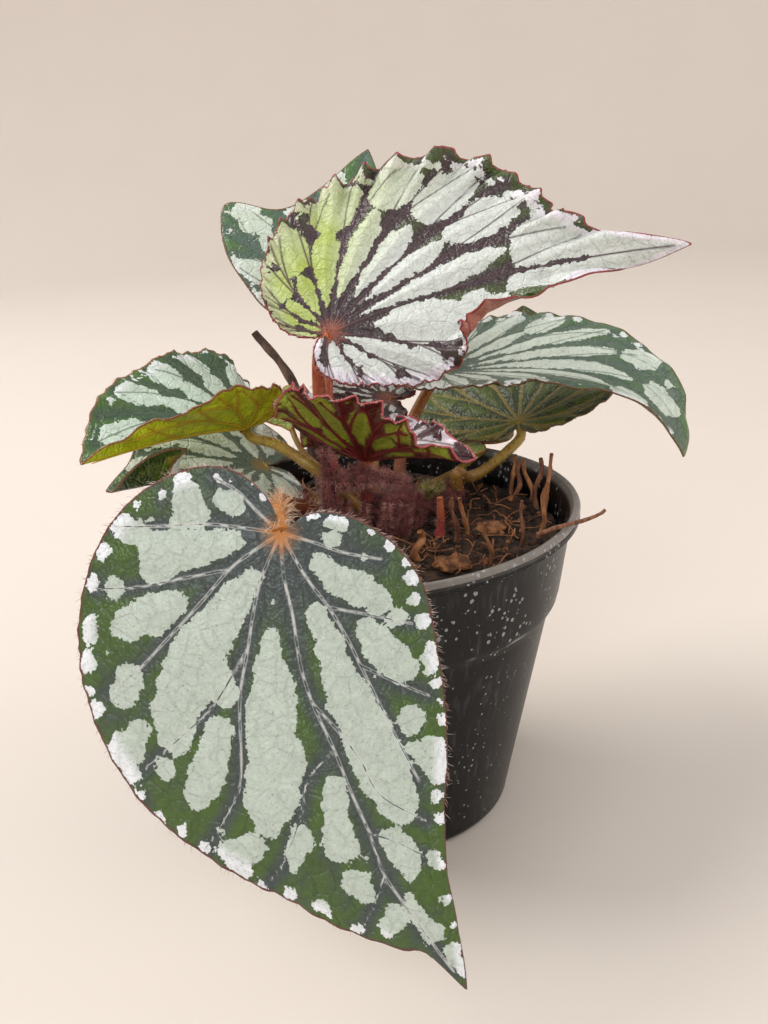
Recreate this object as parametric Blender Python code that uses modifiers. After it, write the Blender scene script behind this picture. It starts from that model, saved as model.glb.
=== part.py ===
"""Potted rex begonia: a spotted painted-leaf begonia growing from a creeping rhizome in a
round black nursery pot. Metres, +Z up. The origin is the centre of the pot's underside."""

import math

import bmesh
import bpy
import numpy as np
from mathutils import Vector

# --- driving dimensions -------------------------------------------------------------------

OBJECT_NAME = "potted_rex_begonia"
GAP = 0.0003  # left between pieces that touch

POT_HEIGHT = 0.085
POT_BASE_RADIUS = 0.034
POT_STEP_HEIGHT = 0.060  # where the wall steps out into the collar
POT_STEP_RADIUS = 0.0475
POT_COLLAR_RADIUS = 0.0492
POT_RIM_RADIUS = 0.055
POT_WALL = 0.0012
POT_FOOT_ROUND = 0.003
RIM_LIP_HEIGHT = 0.0035
RIM_LIP_WIDTH = 0.0016
POT_SIDES = 48
DRAIN_HOLES = 6
DRAIN_RADIUS = 0.0035
DRAIN_RING_RADIUS = 0.022

SOIL_TOP = 0.0745
SOIL_DOME = 0.001  # how much higher the soil is in the middle

RHIZOME_LEFT = Vector((-0.013, 0.002, 0.0802))
RHIZOME_RIGHT = Vector((0.026, 0.016, 0.0800))
RHIZOME_RADIUS = 0.0042
RHIZOME_TAPER = 0.15  # share of its radius lost from left to right
RHIZOME_BULGE = 0.08

BLADE_THICKNESS = 0.0008
BLADE_RINGS = 6
BLADE_SPOKES = 20

TUBE_RESOLUTION = 2

# Half outlines of a blade: (degrees from the midrib, distance from the junction as a share
# of the midrib's length). A rex begonia's leaf is lopsided, so its two halves differ.
BROAD_HALF = (
    (0, 1.00), (1, 0.92), (4, 0.86), (9, 0.80), (16, 0.72), (28, 0.65), (45, 0.585),
    (65, 0.50), (90, 0.385), (120, 0.255), (150, 0.15), (172, 0.05),
)
NARROW_HALF = (
    (0, 1.00), (2, 0.93), (4, 0.86), (7, 0.76), (11, 0.68), (20, 0.565), (35, 0.42),
    (60, 0.285), (90, 0.15), (118, 0.055),
)
TAILED_BROAD_HALF = (
    (0, 1.00), (2, 0.87), (5, 0.78), (10, 0.70), (20, 0.665), (35, 0.64), (55, 0.545),
    (75, 0.45), (100, 0.31), (125, 0.20), (150, 0.12), (172, 0.05),
)
TAILED_NARROW_HALF = (
    (0, 1.00), (2, 0.84), (6, 0.66), (12, 0.57), (20, 0.49), (30, 0.41), (45, 0.32),
    (60, 0.25), (80, 0.18), (105, 0.15), (135, 0.11), (172, 0.04),
)
LONG_BROAD_HALF = (
    (0, 1.00), (4, 0.95), (10, 0.88), (20, 0.73), (35, 0.57), (50, 0.47), (70, 0.40),
    (95, 0.28), (130, 0.16), (170, 0.05),
)
LONG_SLIM_HALF = (
    (0, 1.00), (4, 0.86), (10, 0.66), (20, 0.47), (35, 0.34), (50, 0.27), (70, 0.23),
    (95, 0.20), (130, 0.15), (170, 0.05),
)
FOLDED_HALF = (
    (0, 1.00), (8, 0.80), (20, 0.64), (40, 0.50), (65, 0.41), (90, 0.34), (120, 0.24),
    (150, 0.14), (170, 0.05),
)
SWOLLEN_HALF = (
    (0, 1.00), (8, 0.92), (20, 0.83), (40, 0.69), (65, 0.60), (90, 0.60), (105, 0.61),
    (115, 0.57), (140, 0.36), (170, 0.08),
)
LOBED_HALF = (
    (0, 1.00), (10, 0.78), (25, 0.62), (45, 0.61), (60, 0.78), (70, 0.70), (80, 0.61),
    (95, 0.48), (125, 0.35), (150, 0.24), (170, 0.08),
)
HEART_HALF = (
    (0, 1.00), (8, 0.80), (20, 0.64), (40, 0.52), (65, 0.45), (90, 0.40), (120, 0.33),
    (150, 0.23), (170, 0.06),
)
ROUND_HALF = (
    (0, 1.00), (10, 0.84), (25, 0.76), (45, 0.72), (70, 0.66), (95, 0.58), (125, 0.46),
    (150, 0.32), (170, 0.08),
)
SHALLOW_HALF = (
    (0, 1.00), (10, 0.84), (25, 0.76), (45, 0.70), (70, 0.60), (95, 0.44), (120, 0.26),
    (150, 0.15), (170, 0.06),
)

# Each blade: where its stalk joins it, where its tip is, the way its upper face looks, its
# two half outlines, and how it bends. Angles are degrees: fold tilts a half up from the
# midrib, arch bends it further towards its margin, sweep curves the midrib sideways, droop
# curves it down towards the tip. ruffle is (height share, waves per degree). curl is
# (direction, half width, turn, share of the half's width where it starts).
LEAVES = {
    "front": dict(
        junction=(-0.0162, -0.078, 0.1087), tip=(0.0132, -0.102, 0.0198),
        facing=(0.05, -0.95, 0.28), left=NARROW_HALF, right=BROAD_HALF,
        sweep=24, droop=10, fold=(-4, -4), arch=(-30, -25),
    ),
    "top": dict(
        junction=(-0.0057, 0.0, 0.1302), tip=(0.0834, -0.005, 0.1461),
        facing=(-0.1, -0.6, 0.8), left=TAILED_BROAD_HALF, right=TAILED_NARROW_HALF,
        sweep=-34, droop=-10, fold=(12, -20), ruffle=(0.015, 9), curl=(-20, 18, 160, 0.70),
    ),
    "left": dict(
        junction=(-0.0298, 0.006, 0.1062), tip=(-0.0650, -0.026, 0.1083),
        facing=(0.0, 0.0, 1.0), left=FOLDED_HALF, right=SWOLLEN_HALF,
        sweep=-10, droop=20, fold=(45, 36), ruffle=(0.02, 9),
    ),
    "left_low": dict(
        junction=(-0.0264, 0.008, 0.0944), tip=(-0.0625, -0.016, 0.0985),
        facing=(0.0, -0.4, 0.92), left=SHALLOW_HALF, right=ROUND_HALF,
        droop=15, fold=(5, 5), curl=(10, 9, 150, 0.62),
    ),
    "right": dict(
        junction=(0.0230, 0.030, 0.1111), tip=(0.0828, 0.0, 0.0910),
        facing=(0.1, -0.3, 0.93), left=LONG_BROAD_HALF, right=LONG_SLIM_HALF,
        sweep=-8, droop=95, droop_power=3, fold=(8, 14), arch=(0, -40),
    ),
    "right_low": dict(
        junction=(0.0454, 0.035, 0.0940), tip=(0.055, 0.085, 0.118),
        facing=(0.0, 0.6, 0.8), left=SHALLOW_HALF, right=SHALLOW_HALF,
        droop=-15, fold=(5, 5),
    ),
    "young": dict(
        junction=(0.0008, -0.008, 0.0997), tip=(0.0246, -0.046, 0.1098),
        facing=(0.0, 0.0, 1.0), left=NARROW_HALF, right=ROUND_HALF,
        droop=10, fold=(40, 45), ruffle=(0.03, 8),
    ),
    "frilled": dict(
        junction=(0.0082, 0.030, 0.1047), tip=(-0.0128, 0.035, 0.1095),
        facing=(0.0, -0.3, 0.95), left=ROUND_HALF, right=ROUND_HALF,
        ruffle=(0.04, 9),
    ),
    "back": dict(
        junction=(-0.0058, 0.035, 0.1343), tip=(0.0078, 0.070, 0.1695),
        facing=(0.0, -0.7, 0.7), left=LOBED_HALF, right=HEART_HALF, fold=(8, 0),
    ),
    "small": dict(
        junction=(-0.0219, 0.030, 0.1068), tip=(-0.0194, 0.022, 0.0994),
        facing=(0.0, -0.9, 0.4), left=ROUND_HALF, right=ROUND_HALF,
    ),
    "low_rim": dict(
        junction=(0.0330, 0.0350, 0.0890), tip=(0.0180, 0.0530, 0.0900),
        facing=(0.0, -0.1, 1.0), left=ROUND_HALF, right=ROUND_HALF,
    ),
}

# Each stalk: where along the rhizome it springs (0 left, 1 right), the way it leaves, the
# points that it passes, and its radius below and above.
STALKS = {
    "front": (0.02, (-0.2, -0.8, 0.4), ((-0.0177, -0.0176, 0.0922), (-0.0190, -0.0400, 0.1015), (-0.0175, -0.0600, 0.1070)), 0.0020, 0.0016),
    "top": (0.14, (-0.1, 0.1, 1.0), ((-0.0100, 0.0060, 0.102), (-0.0100, 0.0060, 0.116)), 0.0020, 0.0014),
    "left": (0.24, (-0.2, -0.9, 0.35), ((-0.0085, -0.0035, 0.0925), (-0.0151, -0.0030, 0.0985), (-0.0221, 0.0020, 0.1020)), 0.0016, 0.0013),
    "left_low": (0.02, (-0.2, 0.8, 0.6), ((-0.0185, 0.0065, 0.0885),), 0.0016, 0.0013),
    "right": (0.62, (0.0, 0.6, 0.8), ((0.0120, 0.0210, 0.0960),), 0.0018, 0.0014),
    "right_low": (0.96, (0.0, -0.4, 0.9), ((0.0290, 0.0190, 0.0835), (0.0348, 0.0250, 0.0838), (0.0416, 0.0305, 0.0868)), 0.0017, 0.0013),
    "young": (0.34, (-0.3, -0.2, 1.0), ((0.0005, 0.0030, 0.0890),), 0.0017, 0.0014),
    "frilled": (0.45, (0.0, 0.9, 0.5), ((0.0040, 0.0200, 0.0920),), 0.0012, 0.0010),
    "back": (0.20, (-0.2, 1.0, 0.6), ((-0.0085, 0.0150, 0.0980), (-0.0080, 0.0240, 0.1150)), 0.0017, 0.0013),
    "small": (0.33, (-0.2, 1.0, 0.5), ((-0.0160, 0.0240, 0.0920), (-0.0205, 0.0345, 0.1000)), 0.0009, 0.0007),
    "low_rim": (0.85, (0.1, 1.0, 0.3), ((0.0260, 0.0290, 0.0820),), 0.0011, 0.0009),
}

# Dried stubs of old stalks and roots: foot on the soil, top, radius.
DRY_STEMS = (
    ((0.041, 0.020), (0.0440, 0.0205, 0.0866), 0.0008),
    ((0.046, 0.017), (0.0440, 0.0165, 0.0885), 0.0007),
    ((0.041, 0.022), (0.0425, 0.0225, 0.0880), 0.0007),
    ((0.0465, 0.0115), (0.0478, 0.0118, 0.0900), 0.0008),
    ((0.0475, 0.006), (0.0497, 0.0060, 0.0930), 0.0007),
    ((0.042, -0.012), (0.0455, -0.0120, 0.0915), 0.0007),
    ((0.022, -0.010), (0.0215, -0.0120, 0.0890), 0.0008),
    ((0.026, -0.004), (0.0240, -0.0040, 0.0860), 0.0007),
    ((0.029, -0.023), (0.0282, -0.0240, 0.0865), 0.0006),
    ((0.038, -0.015), (0.0385, -0.0150, 0.0882), 0.0006),
    ((0.012, -0.018), (0.0128, -0.0190, 0.0835), 0.0011),
    ((0.005, 0.030), (0.0020, 0.0330, 0.0860), 0.0009),
)

# Bark chips lying on the soil: place, (length, width, height), turn in degrees.
BARK_CHIPS = (
    ((0.032, -0.003), (0.0070, 0.0045, 0.0026), 20),
    ((0.020, -0.024), (0.0080, 0.0050, 0.0024), -35),
    ((0.033, -0.030), (0.0060, 0.0040, 0.0022), 60),
    ((-0.020, -0.018), (0.0090, 0.0050, 0.0026), 10),
    ((-0.030, 0.006), (0.0075, 0.0045, 0.0024), 80),
    ((-0.008, 0.034), (0.0085, 0.0050, 0.0028), -15),
    ((0.004, -0.036), (0.0070, 0.0048, 0.0022), 45),
)

# --- colours: base colour, roughness ------------------------------------------------------

POT_BLACK = ((0.023, 0.022, 0.024), 0.45)
SOIL_BROWN = ((0.035, 0.020, 0.012), 0.95)
BLADE_GREEN = ((0.10, 0.17, 0.11), 0.45)
STALK_OCHRE = ((0.42, 0.22, 0.06), 0.50)
STALK_RED = ((0.45, 0.06, 0.05), 0.50)
FUZZY_MAROON = ((0.20, 0.06, 0.06), 0.85)
DRY_BROWN = ((0.22, 0.09, 0.035), 0.80)
BUD_OLIVE = ((0.28, 0.24, 0.08), 0.85)


# --- helpers ------------------------------------------------------------------------------

def clear_scene():
    for obj in list(bpy.data.objects):
        bpy.data.objects.remove(obj, do_unlink=True)


def collection_named(name, hidden=False):
    made = bpy.data.collections.new(name)
    bpy.context.scene.collection.children.link(made)
    made.hide_render = hidden
    return made


def material(name, look):
    colour, roughness = look
    made = bpy.data.materials.new(name)
    made.use_nodes = True
    shader = made.node_tree.nodes["Principled BSDF"]
    shader.inputs["Base Color"].default_value = (*colour, 1.0)
    shader.inputs["Roughness"].default_value = roughness
    shader.inputs["Metallic"].default_value = 0.0
    return made


def add_object(name, data, collection, look):
    obj = bpy.data.objects.new(name, data)
    collection.objects.link(obj)
    data.materials.append(material(name, look))
    return obj


def mesh_from(name, bm):
    bmesh.ops.recalc_face_normals(bm, faces=bm.faces)
    mesh = bpy.data.meshes.new(name)
    bm.to_mesh(mesh)
    bm.free()
    mesh.shade_smooth()
    return mesh


def turned_mesh(name, profile, steps, collection, look):
    """An object whose profile of (radius, height) points is turned about Z, top to bottom on its outside."""
    bm = bmesh.new()
    vertices = [bm.verts.new((radius, 0.0, height)) for radius, height in profile]
    for start, end in zip(vertices, vertices[1:]):
        bm.edges.new((start, end))
    mesh = bpy.data.meshes.new(name)
    bm.to_mesh(mesh)
    bm.free()
    obj = add_object(name, mesh, collection, look)
    screw = obj.modifiers.new("Turn", "SCREW")
    screw.steps = screw.render_steps = steps
    screw.use_merge_vertices = True
    screw.merge_threshold = 0.00005
    screw.use_smooth_shade = True
    return obj


def smooth_route(points, samples):
    """Points along a Catmull-Rom curve through the given ones, `samples` to each span."""
    given = [Vector(point) for point in points]
    padded = [2 * given[0] - given[1], *given, 2 * given[-1] - given[-2]]
    route = []
    for before, start, end, after in zip(padded, padded[1:], padded[2:], padded[3:]):
        for step in range(samples):
            t = step / samples
            route.append(0.5 * (
                2 * start
                + (end - before) * t
                + (2 * before - 5 * start + 4 * end - after) * t**2
                + (3 * start - before - 3 * end + after) * t**3
            ))
    return [*route, given[-1]]


def tube(name, route, start_radius, end_radius, collection, look, bulge=0.0):
    """A round tube along the route, its radius passing evenly from one end's to the other's."""
    curve = bpy.data.curves.new(name, "CURVE")
    curve.dimensions = "3D"
    curve.bevel_depth = 1.0
    curve.bevel_resolution = TUBE_RESOLUTION
    curve.use_fill_caps = True
    spline = curve.splines.new("POLY")
    spline.points.add(len(route) - 1)
    for index, (point, place) in enumerate(zip(spline.points, route)):
        share = index / (len(route) - 1)
        point.co = (*place, 1.0)
        even = start_radius + (end_radius - start_radius) * share
        point.radius = even * (1 + bulge * math.sin(math.pi * share))
    return add_object(name, curve, collection, look)


# --- pot and soil -------------------------------------------------------------------------

def wall_radius(height):
    """Outer radius of the pot's wall below the rim's lip."""
    if height < POT_STEP_HEIGHT:
        share = height / POT_STEP_HEIGHT
        return POT_BASE_RADIUS + (POT_STEP_RADIUS - POT_BASE_RADIUS) * share
    share = (height - POT_STEP_HEIGHT) / (POT_HEIGHT - POT_STEP_HEIGHT)
    return POT_COLLAR_RADIUS + (POT_RIM_RADIUS - RIM_LIP_WIDTH - POT_COLLAR_RADIUS) * share


def inner_radius(height):
    """Radius of the pot's inside face."""
    knots = (POT_FOOT_ROUND + POT_WALL, POT_STEP_HEIGHT - 0.0006, POT_HEIGHT - RIM_LIP_HEIGHT)
    radii = [wall_radius(min(knot, POT_STEP_HEIGHT - 0.001)) - POT_WALL for knot in knots[:2]]
    radii.append(wall_radius(knots[2]) - POT_WALL)
    return float(np.interp(height, knots, radii))


def soil_height(x, y):
    share = math.hypot(x, y) / POT_RIM_RADIUS
    return SOIL_TOP + SOIL_DOME * (1 - share**2)


def build_pot(collection, cutters):
    lip_foot = POT_HEIGHT - RIM_LIP_HEIGHT
    foot_arc = [math.radians(angle) for angle in (0, 30, 60, 90)]
    outside = [
        (POT_RIM_RADIUS - RIM_LIP_WIDTH / 2, POT_HEIGHT),
        (POT_RIM_RADIUS, POT_HEIGHT - RIM_LIP_WIDTH / 2),
        (POT_RIM_RADIUS, lip_foot),
        (wall_radius(lip_foot), lip_foot - 0.0004),
        (wall_radius(POT_STEP_HEIGHT + 0.0005), POT_STEP_HEIGHT + 0.0015),
        (wall_radius(POT_STEP_HEIGHT + 0.0005) - 0.0008, POT_STEP_HEIGHT),
        (wall_radius(POT_STEP_HEIGHT - 0.001), POT_STEP_HEIGHT - 0.0006),
    ]
    foot_centre = wall_radius(POT_FOOT_ROUND) - POT_FOOT_ROUND
    outside += [
        (foot_centre + POT_FOOT_ROUND * math.cos(angle), POT_FOOT_ROUND * (1 - math.sin(angle)))
        for angle in foot_arc
    ]
    inside_floor = wall_radius(POT_FOOT_ROUND) - POT_FOOT_ROUND
    inside = [
        (0.0, 0.0),
        (0.0, POT_WALL),
        (inside_floor, POT_WALL),
        (inner_radius(POT_FOOT_ROUND + POT_WALL), POT_FOOT_ROUND + POT_WALL),
        (inner_radius(POT_STEP_HEIGHT - 0.0006), POT_STEP_HEIGHT - 0.0006),
        (inner_radius(lip_foot), lip_foot),
        (inner_radius(POT_HEIGHT), POT_HEIGHT - 0.0004),
        (POT_RIM_RADIUS - RIM_LIP_WIDTH / 2, POT_HEIGHT),
    ]
    pot = turned_mesh("nursery_pot", outside + inside, POT_SIDES, collection, POT_BLACK)
    bm = bmesh.new()
    bmesh.ops.create_cone(
        bm, cap_ends=True, segments=16, radius1=DRAIN_RADIUS, radius2=DRAIN_RADIUS, depth=0.02
    )
    mesh = mesh_from("drain_hole_cutter", bm)
    for index in range(DRAIN_HOLES):
        turn = 2 * math.pi * (index + 0.5) / DRAIN_HOLES
        cutter = bpy.data.objects.new(f"drain_hole_cutter_{index + 1}", mesh)
        cutters.objects.link(cutter)
        cutter.location = (DRAIN_RING_RADIUS * math.cos(turn), DRAIN_RING_RADIUS * math.sin(turn), 0.0)
        cutter.hide_render = True
        cutter.display_type = "WIRE"
        cut = pot.modifiers.new(f"Drain {index + 1}", "BOOLEAN")
        cut.operation = "DIFFERENCE"
        cut.object = cutter


def build_soil(collection):
    bottom = POT_WALL + GAP
    top_edge = inner_radius(SOIL_TOP) - GAP
    rings = [top_edge * share for share in (0.0, 0.3, 0.6, 0.85, 1.0)]
    profile = [(radius, soil_height(radius, 0.0)) for radius in rings]
    profile += [
        (inner_radius(POT_STEP_HEIGHT - 0.0006) - GAP, POT_STEP_HEIGHT - 0.0006),
        (inner_radius(POT_FOOT_ROUND + POT_WALL) - GAP, POT_FOOT_ROUND + POT_WALL + GAP),
        (wall_radius(POT_FOOT_ROUND) - POT_FOOT_ROUND - GAP, bottom),
        (0.0, bottom),
    ]
    turned_mesh("potting_soil", profile, POT_SIDES, collection, SOIL_BROWN)


# --- blades -------------------------------------------------------------------------------

def half_width(half, degrees):
    """Distance from junction to margin at this angle, by smooth interpolation of a half outline."""
    angles = np.array([angle for angle, _ in half], float)
    widths = np.array([width for _, width in half], float)
    slopes = np.gradient(widths, angles)
    degrees = np.clip(degrees, angles[0], angles[-1])
    index = np.clip(np.searchsorted(angles, degrees, side="right") - 1, 0, len(half) - 2)
    span = angles[index + 1] - angles[index]
    t = (degrees - angles[index]) / span
    return (
        (2 * t**3 - 3 * t**2 + 1) * widths[index]
        + (t**3 - 2 * t**2 + t) * span * slopes[index]
        + (3 * t**2 - 2 * t**3) * widths[index + 1]
        + (t**3 - t**2) * span * slopes[index + 1]
    )


def bent(distance, start, rate):
    """How far along and how far up a line of this length reaches, as its slope turns from `start` at `rate`."""
    rate = np.where(np.abs(rate) < 1e-6, 1e-6, rate)
    along = (np.sin(start + rate * distance) - np.sin(start)) / rate
    up = (np.cos(start) - np.cos(start + rate * distance)) / rate
    return along, up


def blade_points(leaf, share, degrees):
    """Points of a blade whose midrib is 1 long: X to the tip, Y to the left, Z up from its upper face."""
    width = np.where(
        degrees >= 0, half_width(leaf["left"], np.abs(degrees)), half_width(leaf["right"], np.abs(degrees))
    )
    direction, spread, turn, start = leaf.get("curl", (0, 1, 0, 0.9))
    weight = np.clip(1 - np.abs(degrees - direction) / spread, 0, 1)
    weight = weight**2 * (3 - 2 * weight)
    rolled = np.clip(share - start, 0, None)
    along, lift = bent(rolled, 0.0, math.radians(turn) * weight / (1 - start))
    reach = share - rolled + along
    height, waves = leaf.get("ruffle", (0, 0))
    steady = np.clip(2.5 * width, 0, 1)
    lift = lift * width + height * reach**2.5 * np.sin(np.radians(waves * degrees)) * steady
    x = width * reach * np.cos(np.radians(degrees))
    y = width * reach * np.sin(np.radians(degrees))

    side = np.where(y >= 0, 0, 1)
    fold = np.radians(np.array(leaf.get("fold", (0, 0)), float))[side]
    arch = np.radians(np.array(leaf.get("arch", (0, 0)), float))[side]
    across, up = bent(np.abs(y), fold, arch)
    slope = fold + arch * np.abs(y)
    across = np.where(y >= 0, 1, -1) * (across - lift * np.sin(slope))
    up = up + lift * np.cos(slope)

    sweep = math.radians(leaf.get("sweep", 0)) or 1e-6
    heading = sweep * x
    ahead = np.sin(heading) / sweep - across * np.sin(heading)
    left = (1 - np.cos(heading)) / sweep + across * np.cos(heading)

    stations = np.linspace(0.0, 1.3, 131)
    dip = math.radians(leaf.get("droop", 0)) * stations ** leaf.get("droop_power", 1)
    middle = (dip[1:] + dip[:-1]) / 2
    step = stations[1]
    rib_x = np.concatenate([[0.0], np.cumsum(np.cos(middle) * step)])
    rib_z = np.concatenate([[0.0], np.cumsum(-np.sin(middle) * step)])
    here = np.clip(ahead, 0, None)
    tilt = np.interp(here, stations, dip)
    forward = np.interp(here, stations, rib_x) + np.minimum(ahead, 0)
    return np.stack(
        [forward + up * np.sin(tilt), left, np.interp(here, stations, rib_z) + up * np.cos(tilt)], axis=-1
    )


def axes(along, facing):
    """Columns: a unit vector along, one to its left, and one close to `facing`, square to each other."""
    x = np.asarray(along, float) / np.linalg.norm(along)
    z = np.asarray(facing, float) - np.dot(facing, x) * x
    z /= np.linalg.norm(z)
    return np.stack([x, np.cross(z, x), z], axis=1)


def blade_placing(leaf):
    """The length of a blade's midrib, and the turn that takes its own axes to the world's."""
    tip = blade_points(leaf, np.array([1.0]), np.array([0.0]))[0]
    chord = np.subtract(leaf["tip"], leaf["junction"])
    turn = axes(chord, leaf["facing"]) @ axes(tip, (0.0, 0.0, 1.0)).T
    return np.linalg.norm(chord) / np.linalg.norm(tip), turn


def build_blade(name, leaf, collection):
    bm = bmesh.new()
    bmesh.ops.create_grid(bm, x_segments=BLADE_RINGS, y_segments=BLADE_SPOKES, size=1.0)
    flat = np.array([vertex.co for vertex in bm.verts])
    share = (flat[:, 0] + 1) / 2
    reach = np.where(flat[:, 1] >= 0, leaf["left"][-1][0], leaf["right"][-1][0])
    degrees = np.sign(flat[:, 1]) * reach * np.abs(flat[:, 1]) ** 1.4
    length, turn = blade_placing(leaf)
    placed = blade_points(leaf, share, degrees) * length @ turn.T + np.array(leaf["junction"])
    for vertex, point in zip(bm.verts, placed):
        vertex.co = point
    bmesh.ops.remove_doubles(bm, verts=bm.verts, dist=1e-6)
    mesh = bpy.data.meshes.new(name)
    bm.to_mesh(mesh)
    bm.free()
    mesh.shade_smooth()
    obj = add_object(name, mesh, collection, BLADE_GREEN)
    shell = obj.modifiers.new("Thickness", "SOLIDIFY")
    shell.thickness = BLADE_THICKNESS
    shell.offset = -1.0


# --- rhizome, stalks and shoots -----------------------------------------------------------

def build_rhizome(collection):
    route = smooth_route((RHIZOME_LEFT, RHIZOME_RIGHT), 8)
    thin_radius = RHIZOME_RADIUS * (1 - RHIZOME_TAPER)
    tube("rhizome", route, RHIZOME_RADIUS, thin_radius, collection, FUZZY_MAROON, bulge=RHIZOME_BULGE)


def spring_point(spring, leaving):
    """A place on the rhizome's skin, and the way out of it nearest to `leaving`."""
    axis = (RHIZOME_RIGHT - RHIZOME_LEFT).normalized()
    way = Vector(leaving)
    way = (way - axis * way.dot(axis)).normalized()
    skin = RHIZOME_RADIUS * (1 - RHIZOME_TAPER * spring) * (1 + RHIZOME_BULGE * math.sin(math.pi * spring))
    return RHIZOME_LEFT.lerp(RHIZOME_RIGHT, spring) + way * (skin + 2 * GAP), way


def build_stalk(name, collection):
    spring, leaving, passing, low_radius, high_radius = STALKS[name]
    leaf = LEAVES[name]
    _, turn = blade_placing(leaf)
    along, upper = Vector(turn[:, 0]), Vector(turn[:, 2])
    start, leaving = spring_point(spring, leaving)
    end = Vector(leaf["junction"]) - upper * (BLADE_THICKNESS + 2.5 * GAP)
    approach = end - upper * 3 * high_radius - along * high_radius
    route = smooth_route((start, start + leaving * 2 * low_radius, *passing, approach, end), 3)
    look = STALK_RED if name in ("top", "young", "back") else STALK_OCHRE
    tube(f"stalk_{name}", route, low_radius, high_radius, collection, look)


def build_crown(collection):
    """The fuzzy stipules, a red shoot, a bud and a dead stalk that stand round the rhizome."""
    bud_foot, bud_way = spring_point(0.72, (0.0, -0.6, 0.7))
    tube(
        "stipule_tall",
        smooth_route(((-0.0084, -0.0110, 0.0762), (-0.0091, -0.0106, 0.0900), (-0.0090, -0.0102, 0.1040)), 3),
        0.0022, 0.0006, collection, FUZZY_MAROON, bulge=0.2,
    )
    tube(
        "stipule_long",
        smooth_route(((-0.0074, -0.0113, 0.0955), (0.0020, -0.0130, 0.0965), (0.0110, -0.0115, 0.0935)), 3),
        0.0020, 0.0005, collection, FUZZY_MAROON, bulge=0.3,
    )
    tube(
        "shoot_red",
        smooth_route(((0.0185, -0.0040, 0.0760), (0.0190, -0.0040, 0.0810), (0.0190, -0.0040, 0.0865)), 3),
        0.0013, 0.0008, collection, STALK_RED,
    )
    tube(
        "leaf_bud",
        smooth_route((bud_foot, bud_foot + bud_way * 0.003, (0.0200, 0.0020, 0.0875)), 3),
        0.0016, 0.0007, collection, BUD_OLIVE, bulge=0.5,
    )
    tube(
        "stalk_dead",
        smooth_route(((-0.0120, 0.0300, 0.0765), (-0.0178, 0.0400, 0.1065), (-0.0285, 0.0460, 0.1225)), 4),
        0.0016, 0.0011, collection, DRY_BROWN,
    )


# --- what lies on the soil ----------------------------------------------------------------

def build_dry_stems(collection):
    for index, (foot, top, radius) in enumerate(DRY_STEMS):
        low = Vector((*foot, soil_height(*foot) + 2 * GAP + 0.3 * radius))
        high = Vector(top)
        bow = Vector((0.3 * radius, -0.5 * radius, 0.0))
        tube(
            f"dry_stem_{index + 1}", smooth_route((low, (low + high) / 2 + bow, high), 2),
            radius, radius * 0.7, collection, DRY_BROWN,
        )
    twig = ((0.0395, -0.0300, 0.0850), (0.0455, -0.0285, 0.0861), (0.0520, -0.0255, 0.0861), (0.0560, -0.0235, 0.0866))
    tube("rim_twig", smooth_route(twig, 3), 0.0006, 0.0005, collection, DRY_BROWN)


def build_bark_chips(collection):
    for index, (place, size, turn) in enumerate(BARK_CHIPS):
        bm = bmesh.new()
        bmesh.ops.create_cube(bm, size=1.0)
        bmesh.ops.scale(bm, vec=size, verts=bm.verts)
        for vertex in bm.verts:
            if vertex.co.z > 0:
                vertex.co.x *= 0.7
                vertex.co.y *= 0.8
        obj = add_object(f"bark_chip_{index + 1}", mesh_from("bark_chip", bm), collection, DRY_BROWN)
        obj.location = (*place, soil_height(*place) + GAP + 0.0001 + size[2] / 2)
        obj.rotation_euler = (0.0, 0.0, math.radians(turn))
        bevel = obj.modifiers.new("Worn edges", "BEVEL")
        bevel.width = 0.0004
        bevel.segments = 1


def main():
    clear_scene()
    collection = collection_named(OBJECT_NAME)
    cutters = collection_named("cutters", hidden=True)
    build_pot(collection, cutters)
    build_soil(collection)
    build_rhizome(collection)
    build_crown(collection)
    for name, leaf in LEAVES.items():
        build_blade(f"leaf_{name}", leaf, collection)
        build_stalk(name, collection)
    build_dry_stems(collection)
    build_bark_chips(collection)


main()
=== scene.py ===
"""The finished look of a potted rex begonia: spotted leaves on hairy stalks, a fuzzy crown,
rough soil and a round black nursery pot. Metres, +Z up, the pot's axis on Z."""

import math

import bpy
import numpy as np
from mathutils import Matrix, Vector, noise


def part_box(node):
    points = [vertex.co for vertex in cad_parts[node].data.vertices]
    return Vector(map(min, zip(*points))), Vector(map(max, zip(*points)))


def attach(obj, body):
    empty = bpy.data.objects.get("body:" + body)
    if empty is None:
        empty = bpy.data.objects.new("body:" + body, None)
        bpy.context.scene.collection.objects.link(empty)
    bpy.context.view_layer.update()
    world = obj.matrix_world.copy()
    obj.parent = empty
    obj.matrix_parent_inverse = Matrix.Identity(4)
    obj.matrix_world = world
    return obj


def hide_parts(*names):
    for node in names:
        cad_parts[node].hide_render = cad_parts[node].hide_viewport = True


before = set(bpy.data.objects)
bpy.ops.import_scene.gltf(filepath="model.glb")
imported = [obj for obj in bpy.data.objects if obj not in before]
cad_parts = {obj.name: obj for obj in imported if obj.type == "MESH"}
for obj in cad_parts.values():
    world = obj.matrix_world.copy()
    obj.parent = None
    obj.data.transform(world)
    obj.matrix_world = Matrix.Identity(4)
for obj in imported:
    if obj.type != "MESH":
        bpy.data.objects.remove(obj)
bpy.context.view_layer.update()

BODY = "root"
MM = 0.001

# --- the plant's shape, as the solid model has it -------------------------------------------

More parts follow.
